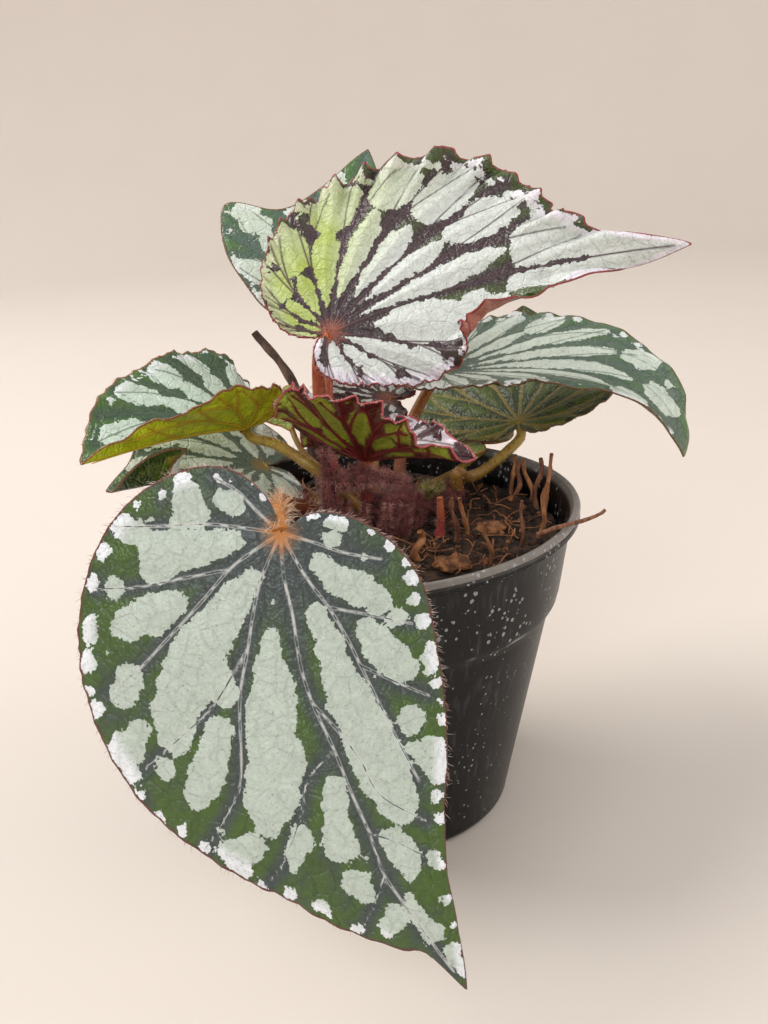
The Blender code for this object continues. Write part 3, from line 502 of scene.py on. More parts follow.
class Graph:
    """The nodes of one material. Methods give sockets, and take sockets, numbers or colours."""

    def __init__(self, name, roughness=0.5):
        self.material = bpy.data.materials.new(name)
        self.material.use_nodes = True
        self.tree = self.material.node_tree
        self.shader = self.tree.nodes["Principled BSDF"]
        self.place = self.node("ShaderNodeTexCoord").outputs["Object"]
        self.finish("Roughness", roughness)

    def node(self, kind, **settings):
        made = self.tree.nodes.new(kind)
        for key, value in settings.items():
            setattr(made, key, value)
        return made

    def feed(self, socket, value):
        if isinstance(value, bpy.types.NodeSocket):
            self.tree.links.new(value, socket)
        elif isinstance(value, tuple) and socket.type == "RGBA":
            socket.default_value = (*value, 1.0)
        else:
            socket.default_value = value

    def finish(self, name, value):
        self.feed(self.shader.inputs[name], value)

    def attribute(self, name):
        return self.node("ShaderNodeAttribute", attribute_name=name).outputs["Fac"]

    def math(self, operation, first, second=0.0):
        made = self.node("ShaderNodeMath", operation=operation)
        self.feed(made.inputs[0], first)
        self.feed(made.inputs[1], second)
        return made.outputs[0]

    def plus(self, first, second):
        return self.math("ADD", first, second)

    def minus(self, first, second):
        return self.math("SUBTRACT", first, second)

    def times(self, first, second):
        return self.math("MULTIPLY", first, second)

    def stretched(self, factors):
        made = self.node("ShaderNodeVectorMath", operation="MULTIPLY")
        self.feed(made.inputs[0], self.place)
        self.feed(made.inputs[1], factors)
        return made.outputs[0]

    def noise(self, per_mm, detail=2.0, rough=0.5, place=None):
        made = self.node("ShaderNodeTexNoise")
        self.feed(made.inputs["Vector"], place or self.place)
        self.feed(made.inputs["Scale"], per_mm / MM)
        self.feed(made.inputs["Detail"], detail)
        self.feed(made.inputs["Roughness"], rough)
        return made.outputs["Fac"]

    def cells(self, per_mm, feature="F1", output="Distance", place=None):
        made = self.node("ShaderNodeTexVoronoi", feature=feature)
        self.feed(made.inputs["Vector"], place or self.place)
        self.feed(made.inputs["Scale"], per_mm / MM)
        return made.outputs[output]

    def step(self, value, low, high):
        """0 up to low, 1 from high, smooth between."""
        made = self.node("ShaderNodeMapRange", interpolation_type="SMOOTHSTEP")
        for index, given in enumerate((value, low, high)):
            self.feed(made.inputs[index], given)
        return made.outputs[0]

    def mix(self, factor, first, second):
        made = self.node("ShaderNodeMix", data_type="RGBA")
        for index, given in ((0, factor), (6, first), (7, second)):
            self.feed(made.inputs[index], given)
        return made.outputs[2]

    def blend(self, factor, first, second):
        made = self.node("ShaderNodeMix")
        for index, given in ((0, factor), (2, first), (3, second)):
            self.feed(made.inputs[index], given)
        return made.outputs[0]

    def shade(self, colour, amount):
        """The colour made brighter or darker by a factor round 1."""
        made = self.node("ShaderNodeVectorMath", operation="SCALE")
        self.feed(made.inputs[0], colour)
        self.feed(made.inputs["Scale"], amount)
        return made.outputs[0]

    def bump(self, height, millimetres):
        made = self.node("ShaderNodeBump")
        self.feed(made.inputs["Distance"], millimetres * MM)
        self.feed(made.inputs["Height"], height)
        self.finish("Normal", made.outputs[0])


def leaf_material(name, look):
    """Attributes in mm: silver (into a patch), vein, rim and root (distances); lime, under from 0 to 1. Lime
    marks painted light: there the patches take the look's lime, light shining through the blade painted as
    colour.
    """
    g = Graph(name, 0.42)
    silver, vein, rim = g.attribute("silver"), g.attribute("vein"), g.attribute("rim")
    root, under, lime = g.attribute("root"), g.attribute("under"), g.attribute("lime")
    ragged = g.minus(g.noise(0.42, 2.0), 0.5)
    grain = g.minus(g.noise(1.7, 2.0), 0.5)
    edge = g.plus(g.minus(silver, 0.25), g.times(ragged, 2.6))
    edge = g.plus(edge, g.times(grain, 1.5))
    patch = g.step(edge, -0.07, 0.07)

    cells = g.cells(1.5, output="Color")
    lumps = g.cells(1.5)
    net = g.cells(0.26, feature="DISTANCE_TO_EDGE")
    net = g.step(net, 0.0, 0.10)
    # Near the veins and the junction the blade keeps the look's ground, elsewhere it turns green in patches; on
    # the slate look that ground's blue-grey is partly painted sheen.
    greener = g.step(vein, 0.3, 3.0)
    greener = g.times(greener, g.step(root, 6.0, 30.0))
    mottled = g.noise(0.16, 3.0)
    ground = g.mix(g.times(greener, g.step(mottled, 0.15, 0.60)), look["ground"], look["green"])
    ground = g.shade(ground, g.blend(g.noise(1.1, 3.0), 0.72, 1.28))
    # Painted shade: darker along the net's lines, the grooves between the puckers that the bump below raises.
    ground = g.shade(ground, g.blend(net, 0.86, 1.0))

    pale = g.mix(g.step(rim, 5.5, 2.0), look["silver"], look["pale"])
    # Painted light: where lime is set, the pale patches turn to the look's lime, light shining through the
    # blade painted as colour.
    pale = g.mix(g.times(lime, g.blend(g.noise(0.12), 0.6, 1.3)), pale, look["lime"])
    pale = g.shade(pale, g.blend(cells, 0.90, 1.08))
    pale = g.shade(pale, g.blend(g.noise(0.3, 3.0), 0.86, 1.14))
    pits = g.step(g.noise(2.6, 1.0), 0.66, 0.72)
    pale = g.mix(g.times(pits, 0.5), pale, look["ground"])
    # Painted shade in the same grooves, on the pale patches.
    pale = g.shade(pale, g.blend(net, 0.96, 1.0))

    top = g.mix(patch, ground, pale)
    near_vein = g.times(g.step(vein, 0.45, 0.10), 0.6)
    top = g.mix(near_vein, top, look["vein"])
    glow = g.times(g.step(root, 5.0, 0.5), g.blend(g.step(vein, 1.0, 0.1), 0.35, 0.95))
    top = g.mix(glow, top, look["glow"])

    below = g.mix(g.step(edge, -0.6, 0.6), look["under"], look["under_patch"])
    below = g.shade(below, g.blend(g.noise(0.5, 3.0), 0.75, 1.25))
    below = g.mix(g.step(vein, 0.8, 0.15), below, look["under_vein"])
    colour = g.mix(under, top, below)
    rough_rim = g.plus(rim, g.times(grain, 0.8))
    colour = g.mix(g.step(rough_rim, 0.55, 0.30), colour, look["edge"])
    g.finish("Base Color", colour)
    g.finish("Roughness", g.blend(patch, 0.30, 0.42))
    relief = g.plus(g.times(lumps, -0.6), g.times(g.noise(0.8, 2.0), 0.9))
    relief = g.plus(relief, g.times(net, 0.6))
    g.bump(g.plus(relief, g.times(patch, 0.35)), 0.24)
    return g.material


def rib_material(name, look):
    """Veins standing on the blade: pale and broken on top, strong below."""
    g = Graph(name, 0.5)
    under = g.attribute("under")
    broken = g.step(g.noise(0.55, 2.0), 0.40, 0.60)
    top = g.mix(g.times(broken, 0.75), look["ground"], look["vein"])
    top = g.mix(g.step(g.attribute("root"), 6.5, 1.0), top, look["glow"])
    below = g.shade(look["under_vein"], g.blend(g.noise(0.5), 0.7, 1.3))
    g.finish("Base Color", g.mix(under, top, below))
    g.bump(g.noise(1.6, 2.0), 0.08)
    return g.material


def stalk_material(name, low, high, dark):
    """A fleshy stalk whose colour passes from its foot to its top, streaked lengthways."""
    g = Graph(name, 0.38)
    along = g.attribute("along")
    patchy = g.plus(along, g.times(g.minus(g.noise(0.22, 3.0), 0.5), 0.9))
    colour = g.mix(g.step(patchy, 0.15, 0.85), low, high)
    streaks = g.noise(1.0, 3.0, place=g.stretched((1.0, 1.0, 0.18)))
    colour = g.mix(g.step(streaks, 0.52, 0.72), colour, dark)
    colour = g.shade(colour, g.blend(g.noise(0.8, 2.0), 0.78, 1.22))
    g.finish("Base Color", colour)
    g.finish("Subsurface Weight", 0.12)
    g.finish("Subsurface Radius", (0.6, 0.25, 0.1))
    g.finish("Subsurface Scale", 0.0015)
    g.bump(g.plus(streaks, g.noise(2.2, 2.0)), 0.12)
    return g.material


def mottled_material(name, dark, light, per_mm, roughness=0.85, relief=0.25, stretch=(1.0, 1.0, 1.0)):
    """A dull material of two colours in uneven patches, for soil, bark, hairs and dry stems."""
    g = Graph(name, roughness)
    place = g.stretched(stretch)
    broad = g.noise(per_mm, 4.0, 0.6, place)
    fine = g.noise(per_mm * 5, 3.0, 0.6, place)
    colour = g.mix(g.step(broad, 0.35, 0.68), dark, light)
    g.finish("Base Color", g.shade(colour, g.blend(fine, 0.55, 1.45)))
    g.bump(g.plus(broad, g.times(fine, 0.5)), relief)
    return g.material


def pot_material():
    """Black plastic with hard-water specks, thicker on the collar and along the step."""
    g = Graph("pot_plastic_worn", 0.42)
    split = g.node("ShaderNodeSeparateXYZ")
    g.feed(split.inputs[0], g.place)
    height = split.outputs[2]
    specks = g.cells(0.85, place=g.stretched((1.0, 1.0, 0.85)))
    size = g.cells(0.85, output="Color", place=g.stretched((1.0, 1.0, 0.85)))
    crowd = g.noise(0.07, 3.0)
    collar = g.step(height, 0.052, 0.066)
    reach = g.times(g.step(size, 0.30, 1.0), g.blend(collar, 0.32, 0.56))
    reach = g.times(reach, g.step(crowd, 0.30, 0.56))
    spot = g.minus(reach, specks)
    spot = g.plus(spot, g.times(g.minus(g.noise(1.8, 2.0), 0.5), 0.12))
    spot = g.times(g.step(spot, 0.0, 0.05), 0.75)
    runs = g.noise(0.55, 4.0, 0.6, g.stretched((1.0, 1.0, 0.10)))
    film = g.times(g.step(runs, 0.52, 0.78), g.blend(g.noise(0.1, 2.0), 0.0, 0.22))
    near_step = g.math("ABSOLUTE", g.minus(height, POT_STEP_HEIGHT + 0.0004))
    crust = g.times(g.step(near_step, 0.0012, 0.0002), g.step(g.noise(0.16, 3.0), 0.46, 0.60))
    lime = g.math("MAXIMUM", g.math("MAXIMUM", spot, film), g.times(crust, 0.7))
    lip = g.step(height, POT_HEIGHT - RIM_LIP_HEIGHT + 0.0010, POT_HEIGHT - RIM_LIP_HEIGHT + 0.0024)
    plastic = g.shade((0.0022, 0.0022, 0.0025), g.blend(g.noise(0.25, 4.0), 0.75, 1.3))
    plastic = g.mix(g.times(lip, g.blend(g.noise(0.5, 3.0), 0.55, 1.0)), plastic, (0.26, 0.24, 0.22))
    g.finish("Base Color", g.mix(lime, plastic, (0.40, 0.41, 0.42)))
    g.finish("Roughness", g.blend(lime, 0.34, 0.85))
    g.finish("Specular IOR Level", 0.3)
    fine = g.times(g.noise(1.4, 3.0), 0.35)
    g.bump(g.plus(fine, g.times(lime, 0.5)), 0.10)
    return g.material


# --- meshes ---------------------------------------------------------------------------------

def linked(name, data):
    """A new object in the scene."""
    made = bpy.data.objects.new(name, data)
    bpy.context.scene.collection.objects.link(made)
    return made


def add_piece(name, shape, material, node=None):
    """A smooth mesh on the plant's body, from (points, faces, per-point attributes).

    `node` is the solid that it stands for, if there is one.
    """
    points, faces, attributes = shape
    mesh = bpy.data.meshes.new(name)
    mesh.from_pydata(np.asarray(points).tolist(), [], faces)
    for key, values in attributes.items():
        made = mesh.attributes.new(key, "FLOAT", "POINT")
        made.data.foreach_set("value", np.asarray(values, np.float32))
    mesh.materials.append(material)
    mesh.shade_smooth()
    mesh.update()
    piece = linked(name, mesh)
    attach(piece, BODY)
    if node:
        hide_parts(node)
    return piece


def joined(parts):
    """Several (points, faces, attributes) as one."""
    points, faces, attributes, start = [], [], {}, 0
    for some, more, values in parts:
        points.append(some)
        faces += [tuple(index + start for index in face) for face in more]
        for key, value in values.items():
            attributes.setdefault(key, []).append(value)
        start += len(some)
    return np.concatenate(points), faces, {key: np.concatenate(v) for key, v in attributes.items()}


def grid_faces(rows, columns, start=0, turned=False, closed=False):
    """Quads between neighbouring rows of points; closed joins the last column to the first."""
    last = columns if closed else columns - 1
    row, column = np.meshgrid(np.arange(rows - 1), np.arange(last), indexing="ij")
    after = (column + 1) % columns
    quads = np.stack([
        row * columns + column, (row + 1) * columns + column,
        (row + 1) * columns + after, row * columns + after,
    ], axis=-1).reshape(-1, 4) + start
    return (quads[:, ::-1] if turned else quads).tolist()


def unit(vectors):
    return vectors / np.maximum(np.linalg.norm(vectors, axis=-1, keepdims=True), 1e-12)


def smooth_route(points, samples):
    """Points along a Catmull-Rom curve through the given ones, `samples` to each span."""
    given = np.asarray([tuple(point) for point in points], float)
    padded = np.vstack([2 * given[0] - given[1], given, 2 * given[-1] - given[-2]])
    route = []
    for before, start, end, after in zip(padded, padded[1:], padded[2:], padded[3:]):
        for t in np.arange(samples) / samples:
            route.append(0.5 * (
                2 * start
                + (end - before) * t
                + (2 * before - 5 * start + 4 * end - after) * t**2
                + (3 * start - before - 3 * end + after) * t**3
            ))
    return np.array([*route, given[-1]])


def frames_along(route):
    """Tangents, and two directions square to them that turn as little as they can."""
    tangents = unit(np.gradient(route, axis=0))
    side = np.cross(tangents[0], (0.0, 0.0, 1.0))
    if np.linalg.norm(side) < 0.1:
        side = np.cross(tangents[0], (0.0, 1.0, 0.0))
    sides = []
    for tangent in tangents:
        side = side - tangent * side.dot(tangent)
        side = side / np.linalg.norm(side)
        sides.append(side)
    sides = np.array(sides)
    return tangents, sides, np.cross(tangents, sides)


def tube_mesh(route, radii, sides=12, lump=0.0, seed=0.0):
    """A closed tube: (points, faces, {"along"}); its radius swells and narrows by the share `lump`."""
    _, first, second = frames_along(route)
    rows = len(route)
    angle = np.linspace(0, 2 * math.pi, sides, endpoint=False)
    ring = np.cos(angle)[None, :, None] * first[:, None] + np.sin(angle)[None, :, None] * second[:, None]
    swell = np.ones((rows, sides))
    if lump:
        for row in range(rows):
            for column in range(sides):
                at = Vector(route[row] + ring[row, column] * radii[row]) / (2.5 * radii.max())
                swell[row, column] += lump * noise.noise(at + Vector((seed, 0, 0)))
    points = route[:, None] + ring * (radii[:, None] * swell)[..., None]
    points = np.vstack([points.reshape(-1, 3), route[:1], route[-1:]])
    foot, head = rows * sides, rows * sides + 1
    faces = grid_faces(rows, sides, turned=True, closed=True)
    for column in range(sides):
        after = (column + 1) % sides
        faces.append((foot, column, after))
        faces.append((head, (rows - 1) * sides + after, (rows - 1) * sides + column))
    along = np.repeat(np.linspace(0, 1, rows), sides)
    return points, faces, {"along": np.concatenate([along, [0.0, 1.0]])}


def hair_mesh(roots, ways, lengths, radius, rng):
    """Tapered curved hairs of three sides: (points, faces, {"along"})."""
    curl, segments = HAIR_CURL, HAIR_SEGMENTS
    count = len(roots)
    ways = unit(ways)
    side = unit(np.cross(ways, unit(rng.normal(size=(count, 3)))))
    other = np.cross(ways, side)
    lean = side * rng.uniform(-curl, curl, (count, 1)) + other * rng.uniform(-curl, curl, (count, 1))
    rings = []
    for step in range(segments):
        t = step / segments
        middle = roots + lengths[:, None] * (ways * t + lean * t**2)
        thick = radius * (1 - 0.75 * t)
        for angle in (0.0, 2.1, 4.2):
            rings.append(middle + thick * (side * math.cos(angle) + other * math.sin(angle)))
    rings.append(roots + lengths[:, None] * (ways + lean))
    each = 3 * segments + 1
    points = np.stack(rings, axis=1).reshape(-1, 3)
    pattern = []
    for step in range(segments - 1):
        for corner in range(3):
            after = (corner + 1) % 3
            low, high = 3 * step, 3 * step + 3
            pattern.append((low + corner, low + after, high + after, high + corner))
    tip = each - 1
    low = 3 * (segments - 1)
    pattern += [(low + corner, low + (corner + 1) % 3, tip) for corner in range(3)]
    faces = [tuple(index + each * hair for index in face) for hair in range(count) for face in pattern]
    along = np.tile(np.append(np.repeat(np.arange(segments) / segments, 3), 1.0), count)
    return points, faces, {"along": along}


# --- blades ---------------------------------------------------------------------------------

def half_width(half, degrees):
    """Distance from junction to margin at this angle, by smooth interpolation of a half outline."""
    angles = np.array([angle for angle, _ in half], float)
    widths = np.array([width for _, width in half], float)
    slopes = np.gradient(widths, angles)
    degrees = np.clip(degrees, angles[0], angles[-1])
    index = np.clip(np.searchsorted(angles, degrees, side="right") - 1, 0, len(half) - 2)
    span = angles[index + 1] - angles[index]
    t = (degrees - angles[index]) / span
    return (
        (2 * t**3 - 3 * t**2 + 1) * widths[index]
        + (t**3 - 2 * t**2 + t) * span * slopes[index]
        + (3 * t**2 - 2 * t**3) * widths[index + 1]
        + (t**3 - t**2) * span * slopes[index + 1]
    )


def outline_width(leaf, degrees):
    degrees = np.asarray(degrees, float)
    return np.where(
        degrees >= 0, half_width(leaf["left"], np.abs(degrees)), half_width(leaf["right"], np.abs(degrees))
    )


def bent(distance, start, rate):
    """How far along and up a line of this length reaches, as its slope turns from `start` at `rate`."""
    rate = np.where(np.abs(rate) < 1e-6, 1e-6, rate)
    along = (np.sin(start + rate * distance) - np.sin(start)) / rate
    up = (np.cos(start) - np.cos(start + rate * distance)) / rate
    return along, up


def frill_of(marks, share, degrees):
    """(lift, growth) of the crisped margin: uneven waves that swell over the outer part of the blade."""
    height, depth, waves = marks.get("frill", (0.0, 0.0, 0.0))
    outer = np.clip((share - 0.66) / 0.34, 0, 1) ** 2
    turn = np.radians(degrees)
    uneven = 0.75 + 0.35 * np.sin(turn * waves * 0.43 + 1.0) * np.sin(turn * waves * 0.17)
    wave = np.sin(turn * waves * 2.1 + 0.7 * np.sin(turn * waves * 0.6)) + 0.4 * np.sin(turn * waves * 4.7 + 2)
    knobs = np.abs(np.sin(turn * waves * 2.4 + 0.5 * np.sin(turn * 5)))
    return height * outer * wave * uneven, depth * outer * (knobs * uneven - 0.5)


def blade_points(leaf, share, degrees, marks=None):
    """Points of a blade whose midrib is 1 long: X to the tip, Y to the left, Z up from its upper face."""
    crisp, growth = frill_of(marks or {}, share, degrees)
    width = outline_width(leaf, degrees)
    steady = np.clip(2.5 * width, 0, 1)
    direction, spread, turn, start = leaf.get("curl", (0, 1, 0, 0.9))
    weight = np.clip(1 - np.abs(degrees - direction) / spread, 0, 1)
    weight = weight**2 * (3 - 2 * weight)
    rolled = np.clip(share - start, 0, None)
    along, lift = bent(rolled, 0.0, math.radians(turn) * weight / (1 - start))
    reach = share - rolled + along
    height, waves = leaf.get("ruffle", (0, 0))
    lift = lift * width + height * reach**2.5 * np.sin(np.radians(waves * degrees)) * steady
    lift = lift + crisp * steady
    distance = width * (reach + growth * steady)
    x = distance * np.cos(np.radians(degrees))
    y = distance * np.sin(np.radians(degrees))

    side = np.where(y >= 0, 0, 1)
    fold = np.radians(np.array(leaf.get("fold", (0, 0)), float))[side]
    arch = np.radians(np.array(leaf.get("arch", (0, 0)), float))[side]
    across, up = bent(np.abs(y), fold, arch)
    slope = fold + arch * np.abs(y)
    across = np.where(y >= 0, 1, -1) * (across - lift * np.sin(slope))
    up = up + lift * np.cos(slope)

    sweep = math.radians(leaf.get("sweep", 0)) or 1e-6
    heading = sweep * x
    ahead = np.sin(heading) / sweep - across * np.sin(heading)
    left = (1 - np.cos(heading)) / sweep + across * np.cos(heading)

    stations = np.linspace(0.0, 1.3, 131)
    dip = math.radians(leaf.get("droop", 0)) * stations ** leaf.get("droop_power", 1)
    middle = (dip[1:] + dip[:-1]) / 2
    step = stations[1]
    rib_x = np.concatenate([[0.0], np.cumsum(np.cos(middle) * step)])
    rib_z = np.concatenate([[0.0], np.cumsum(-np.sin(middle) * step)])
    here = np.clip(ahead, 0, None)
    tilt = np.interp(here, stations, dip)
    forward = np.interp(here, stations, rib_x) + np.minimum(ahead, 0)
    return np.stack(
        [forward + up * np.sin(tilt), left, np.interp(here, stations, rib_z) + up * np.cos(tilt)], axis=-1
    )


def axes(along, facing):
    """Columns: a unit vector along, one to its left, and one close to `facing`, square to each other."""
    x = np.asarray(along, float) / np.linalg.norm(along)
    z = np.asarray(facing, float) - np.dot(facing, x) * x
    z /= np.linalg.norm(z)
    return np.stack([x, np.cross(z, x), z], axis=1)


def blade_placing(leaf):
    """The length of a blade's midrib, and the turn that takes its own axes to the world's."""
    tip = blade_points(leaf, np.array([1.0]), np.array([0.0]))[0]
    chord = np.subtract(leaf["tip"], leaf["junction"])
    turn = axes(chord, leaf["facing"]) @ axes(tip, (0.0, 0.0, 1.0)).T
    return np.linalg.norm(chord) / np.linalg.norm(tip), turn


def surface(name, share, degrees):
    """World points of a leaf's upper face, and its normals there."""
    leaf, marks = LEAVES[name], MARKS[name]
    length, turn = blade_placing(leaf)
    share, degrees = np.asarray(share, float), np.asarray(degrees, float)

    def placed(some_share, some_degrees):
        return blade_points(leaf, some_share, some_degrees, marks) * length @ turn.T + leaf["junction"]

    inner = np.clip(share, 0.02, 0.995)
    here = placed(inner, degrees)
    outward = placed(inner + 0.004, degrees) - here
    round_it = placed(inner, degrees + 0.3) - here
    normals = unit(np.cross(outward, round_it))
    return placed(share, degrees), normals


def flat_place(leaf, share, degrees):
    distance = outline_width(leaf, degrees) * share
    turn = np.radians(degrees)
    return np.stack([distance * np.cos(turn), distance * np.sin(turn)], axis=-1)


def radial(leaf, angle, start, end, lean, count=24):
    """A vein from share start to end, leaning towards the tip, as flat points."""
    t = np.linspace(start, end, count)
    degrees = angle * (1 - lean * t**1.5)
    return flat_place(leaf, t, degrees)


def veins_of(name):
    """The leaf's veins as (flat points, width at the start, width at the end), widths in mm."""
    leaf, marks = LEAVES[name], MARKS[name]
    if name == "front":
        veins = []
        for index, line in enumerate(FRONT_VEINS):
            points = smooth_route([(x / 100, y / 100, 0) for x, y in line], 6)[:, :2]
            veins.append((points, 0.8 if index == 0 else 0.55, 0.18))
        return veins
    veins = []
    for angle in marks["ribs"]:
        main = radial(leaf, angle, 0.01, 0.95, RIB_LEAN)
        veins.append((main, 0.9 if angle == 0 else 0.65, 0.15))
        for start, side in ((0.42, 1), (0.60, -1)):
            t = np.linspace(start, 0.93, 14)
            spread = side * marks["forks"] * ((t - start) / (0.93 - start)) ** 0.9
            degrees = angle * (1 - RIB_LEAN * t**1.5) + spread
            veins.append((flat_place(leaf, t, degrees), 0.35, 0.12))
    return veins


def patches_of(name, rng):
    """Silver patches as chains of (forward, sideways, radius), midrib 1 long."""
    if name == "front":
        return [[tuple(value / 100 for value in disc) for disc in chain] for chain in FRONT_PATCHES]
    leaf, marks = LEAVES[name], MARKS[name]
    chains = []
    for low, high in zip(marks["ribs"], marks["ribs"][1:]):
        middle, half = (low + high) / 2, math.radians(high - low) / 2
        start = marks["start"] + rng.uniform(-0.05, 0.08)
        while start < marks["end"] - 0.05:
            end = min(start + rng.uniform(*marks["long"]), marks["end"])
            chain = []
            for t in np.linspace(start, end, 7):
                degrees = middle * (1 - RIB_LEAN * t**1.5) + rng.uniform(-0.06, 0.06) * (high - low)
                forward, sideways = flat_place(leaf, t, degrees)
                distance = math.hypot(forward, sideways)
                ends = math.sqrt(max(0.12, 1 - ((t - start) / (end - start) * 2 - 1) ** 2))
                radius = distance * math.tan(half) * marks["fill"] * rng.uniform(0.85, 1.1) * ends
                chain.append((forward, sideways, min(radius, 0.075)))
            chains.append(chain)
            start = end + marks["broken"] + rng.uniform(0.0, 0.05)
    for side, start, end, radius in marks.get("tail", ()):
        chains.append([(t, side * radius * 1.1, radius) for t in np.linspace(start, end, 5)])
    reach = (leaf["right"][-1][0], leaf["left"][-1][0])
    for _ in range(marks["blots"]):
        degrees = rng.uniform(-reach[0], reach[1])
        forward, sideways = flat_place(leaf, rng.uniform(0.90, 0.97), degrees)
        chains.append([(forward, sideways, rng.uniform(0.006, 0.020))])
    return chains


def to_segments(flat, start, end):
    """Distances from flat points to a segment, and how far along it the nearest place is."""
    along = end - start
    t = np.clip(((flat - start) @ along) / max(along @ along, 1e-12), 0, 1)
    return np.linalg.norm(flat - start - t[:, None] * along, axis=1), t


def vein_distance(flat, veins):
    nearest = np.full(len(flat), 9.0)
    for line, _, _ in veins:
        for start, end in zip(line, line[1:]):
            nearest = np.minimum(nearest, to_segments(flat, start, end)[0])
    return nearest


def patch_depth(flat, chains):
    """How deep inside a patch each flat point is, negative outside."""
    deepest = np.full(len(flat), -9.0)
    for chain in chains:
        discs = np.array(chain if len(chain) > 1 else chain * 2)
        for start, end in zip(discs, discs[1:]):
            distance, t = to_segments(flat, start[:2], end[:2])
            radius = start[2] + (end[2] - start[2]) * t
            deepest = np.maximum(deepest, radius - distance)
    return deepest


def backlit_lime_share(name, degrees, share):
    """Where the patches are painted lime instead of silver: painted light, light shining through the blade put
    in as colour.
    """
    if name == "top":
        return np.clip((degrees - 34) / 40, 0, 1) * np.clip(1.6 - share, 0, 1)
    if name == "back":
        return np.clip((share - 0.5), 0, 1) * 0.4
    return np.zeros_like(share)


def build_blade(name, rng):
    leaf, marks = LEAVES[name], MARKS[name]
    rings, spokes = marks["grid"]
    length = blade_placing(leaf)[0] / MM
    t = np.linspace(-1, 1, spokes)
    reach = np.where(t >= 0, leaf["left"][-1][0], leaf["right"][-1][0])
    degrees = np.sign(t) * reach * np.abs(t) ** 1.3
    share, degrees = np.meshgrid(np.linspace(0.003, 1.0, rings), degrees, indexing="ij")
    share, degrees = share.ravel(), degrees.ravel()
    flat = flat_place(leaf, share, degrees)
    veins, chains = veins_of(name), patches_of(name, rng)
    vein = vein_distance(flat, veins) * length
    rim = (1 - share) * outline_width(leaf, degrees) * length
    silver = patch_depth(flat, chains) * length
    points, normals = surface(name, share, degrees)
    height, spread = marks["quilt"]
    swelling = height * (1 - np.exp(-((vein / spread) ** 2))) * np.clip(rim / 3.0, 0.15, 1)
    upper = points + normals * swelling[:, None] * MM
    thin = np.clip((share - 0.85) / 0.15, 0, 1)
    thickness = BLADE_THICKNESS + (MARGIN_THICKNESS - BLADE_THICKNESS) * thin
    lower = upper - normals * thickness[:, None]
    each = len(upper)
    faces = grid_faces(rings, spokes) + grid_faces(rings, spokes, start=each, turned=True)
    faces += margin_faces(rings, spokes, each)
    values = {
        "silver": silver, "vein": vein, "rim": rim, "lime": backlit_lime_share(name, degrees, share),
        "root": np.linalg.norm(flat, axis=1) * length,
    }
    attributes = {key: np.tile(value, 2) for key, value in values.items()}
    attributes["under"] = np.repeat([1.0, 0.0] if marks.get("turned") else [0.0, 1.0], each)
    look = LEAF_LOOKS[LEAF_LOOK[name]]
    shape = np.vstack([upper, lower]), faces, attributes
    material = leaf_material(f"blade_{name}", look)
    piece = add_piece(f"blade_{name}", shape, material, f"leaf_{name}")
    lay_out_blade(piece, flat, each)
    build_ribs(name, veins, look)
    build_margin_hairs(name, rng)


def margin_faces(rings, spokes, each):
    """Faces that close a blade's upper and lower layers along its margin and round its junction."""
    outer = [(rings - 1) * spokes + column for column in range(spokes)]
    first = [ring * spokes for ring in range(rings)]
    last = [ring * spokes + spokes - 1 for ring in range(rings)]
    middle = list(range(spokes))
    faces = []
    for chain, turned in ((outer, False), (last, True), (first, False), (middle, True)):
        for a, b in zip(chain, chain[1:]):
            face = (a, a + each, b + each, b)
            faces.append(face[::-1] if turned else face)
    return faces


def lay_out_blade(piece, flat, each):
    """A UV map with the upper face spread flat on the left and the lower on the right."""
    mesh = piece.data
    low, high = flat.min(axis=0), flat.max(axis=0)
    place = (flat - low) / (high - low)
    loops = np.empty(len(mesh.loops), np.int32)
    mesh.loops.foreach_get("vertex_index", loops)
    corners = [polygon.loop_total for polygon in mesh.polygons]
    starts = np.cumsum([0] + corners[:-1])
    lower = np.repeat(np.logical_and.reduceat(loops >= each, starts), corners)
    uv = place[loops % each] * (0.47, 0.96) + (0.015, 0.02)
    uv[lower, 0] += 0.5
    layer = mesh.uv_layers.new(name="OFBake")
    layer.data.foreach_set("uv", uv.astype(np.float32).ravel())


def flat_to_surface(leaf, line):
    degrees = np.degrees(np.arctan2(line[:, 1], line[:, 0]))
    degrees = np.clip(degrees, -leaf["right"][-1][0], leaf["left"][-1][0])
    share = np.hypot(line[:, 0], line[:, 1]) / outline_width(leaf, degrees)
    return np.clip(share, 0.003, 0.99), degrees


def rib_strip(name, line, wide, narrow, below, leaf_length):
    """A low rounded strip along a vein, on the upper or the lower face."""
    leaf = LEAVES[name]
    share, degrees = flat_to_surface(leaf, line)
    points, normals = surface(name, share, degrees)
    if below:
        points = points - normals * BLADE_THICKNESS
        normals = -normals
    tangents = unit(np.gradient(points, axis=0))
    across = unit(np.cross(normals, tangents))
    taper = np.linspace(wide, narrow, len(line))[:, None] * MM
    stand = (0.55 if below else 0.16) * taper
    profile = ((-0.5, -0.5), (-0.36, 0.55), (0.0, 1.0), (0.36, 0.55), (0.5, -0.5))
    rows = [points + across * side * taper + normals * up * stand for side, up in profile]
    strip = np.stack(rows, axis=1).reshape(-1, 3)
    count = len(line)
    faces = grid_faces(count, len(profile), turned=True)
    root = np.repeat(np.hypot(line[:, 0], line[:, 1]) * leaf_length, len(profile))
    under = float(below != MARKS[name].get("turned", False))
    return strip, faces, {"under": np.full(len(strip), under), "root": root}


def build_ribs(name, veins, look):
    """The veins' ridges: low ones on the blade's upper side, higher and wider ones below it."""
    length = blade_placing(LEAVES[name])[0] / MM
    parts = []
    scale = min(1.0, length / 60)
    for line, wide, narrow in veins:
        parts.append(rib_strip(name, line, 0.75 * wide * scale, narrow, False, length))
        parts.append(rib_strip(name, line, 1.5 * wide * scale, narrow * 1.6, True, length))
    add_piece(f"veins_{name}", joined(parts), rib_material(f"veins_{name}", look))


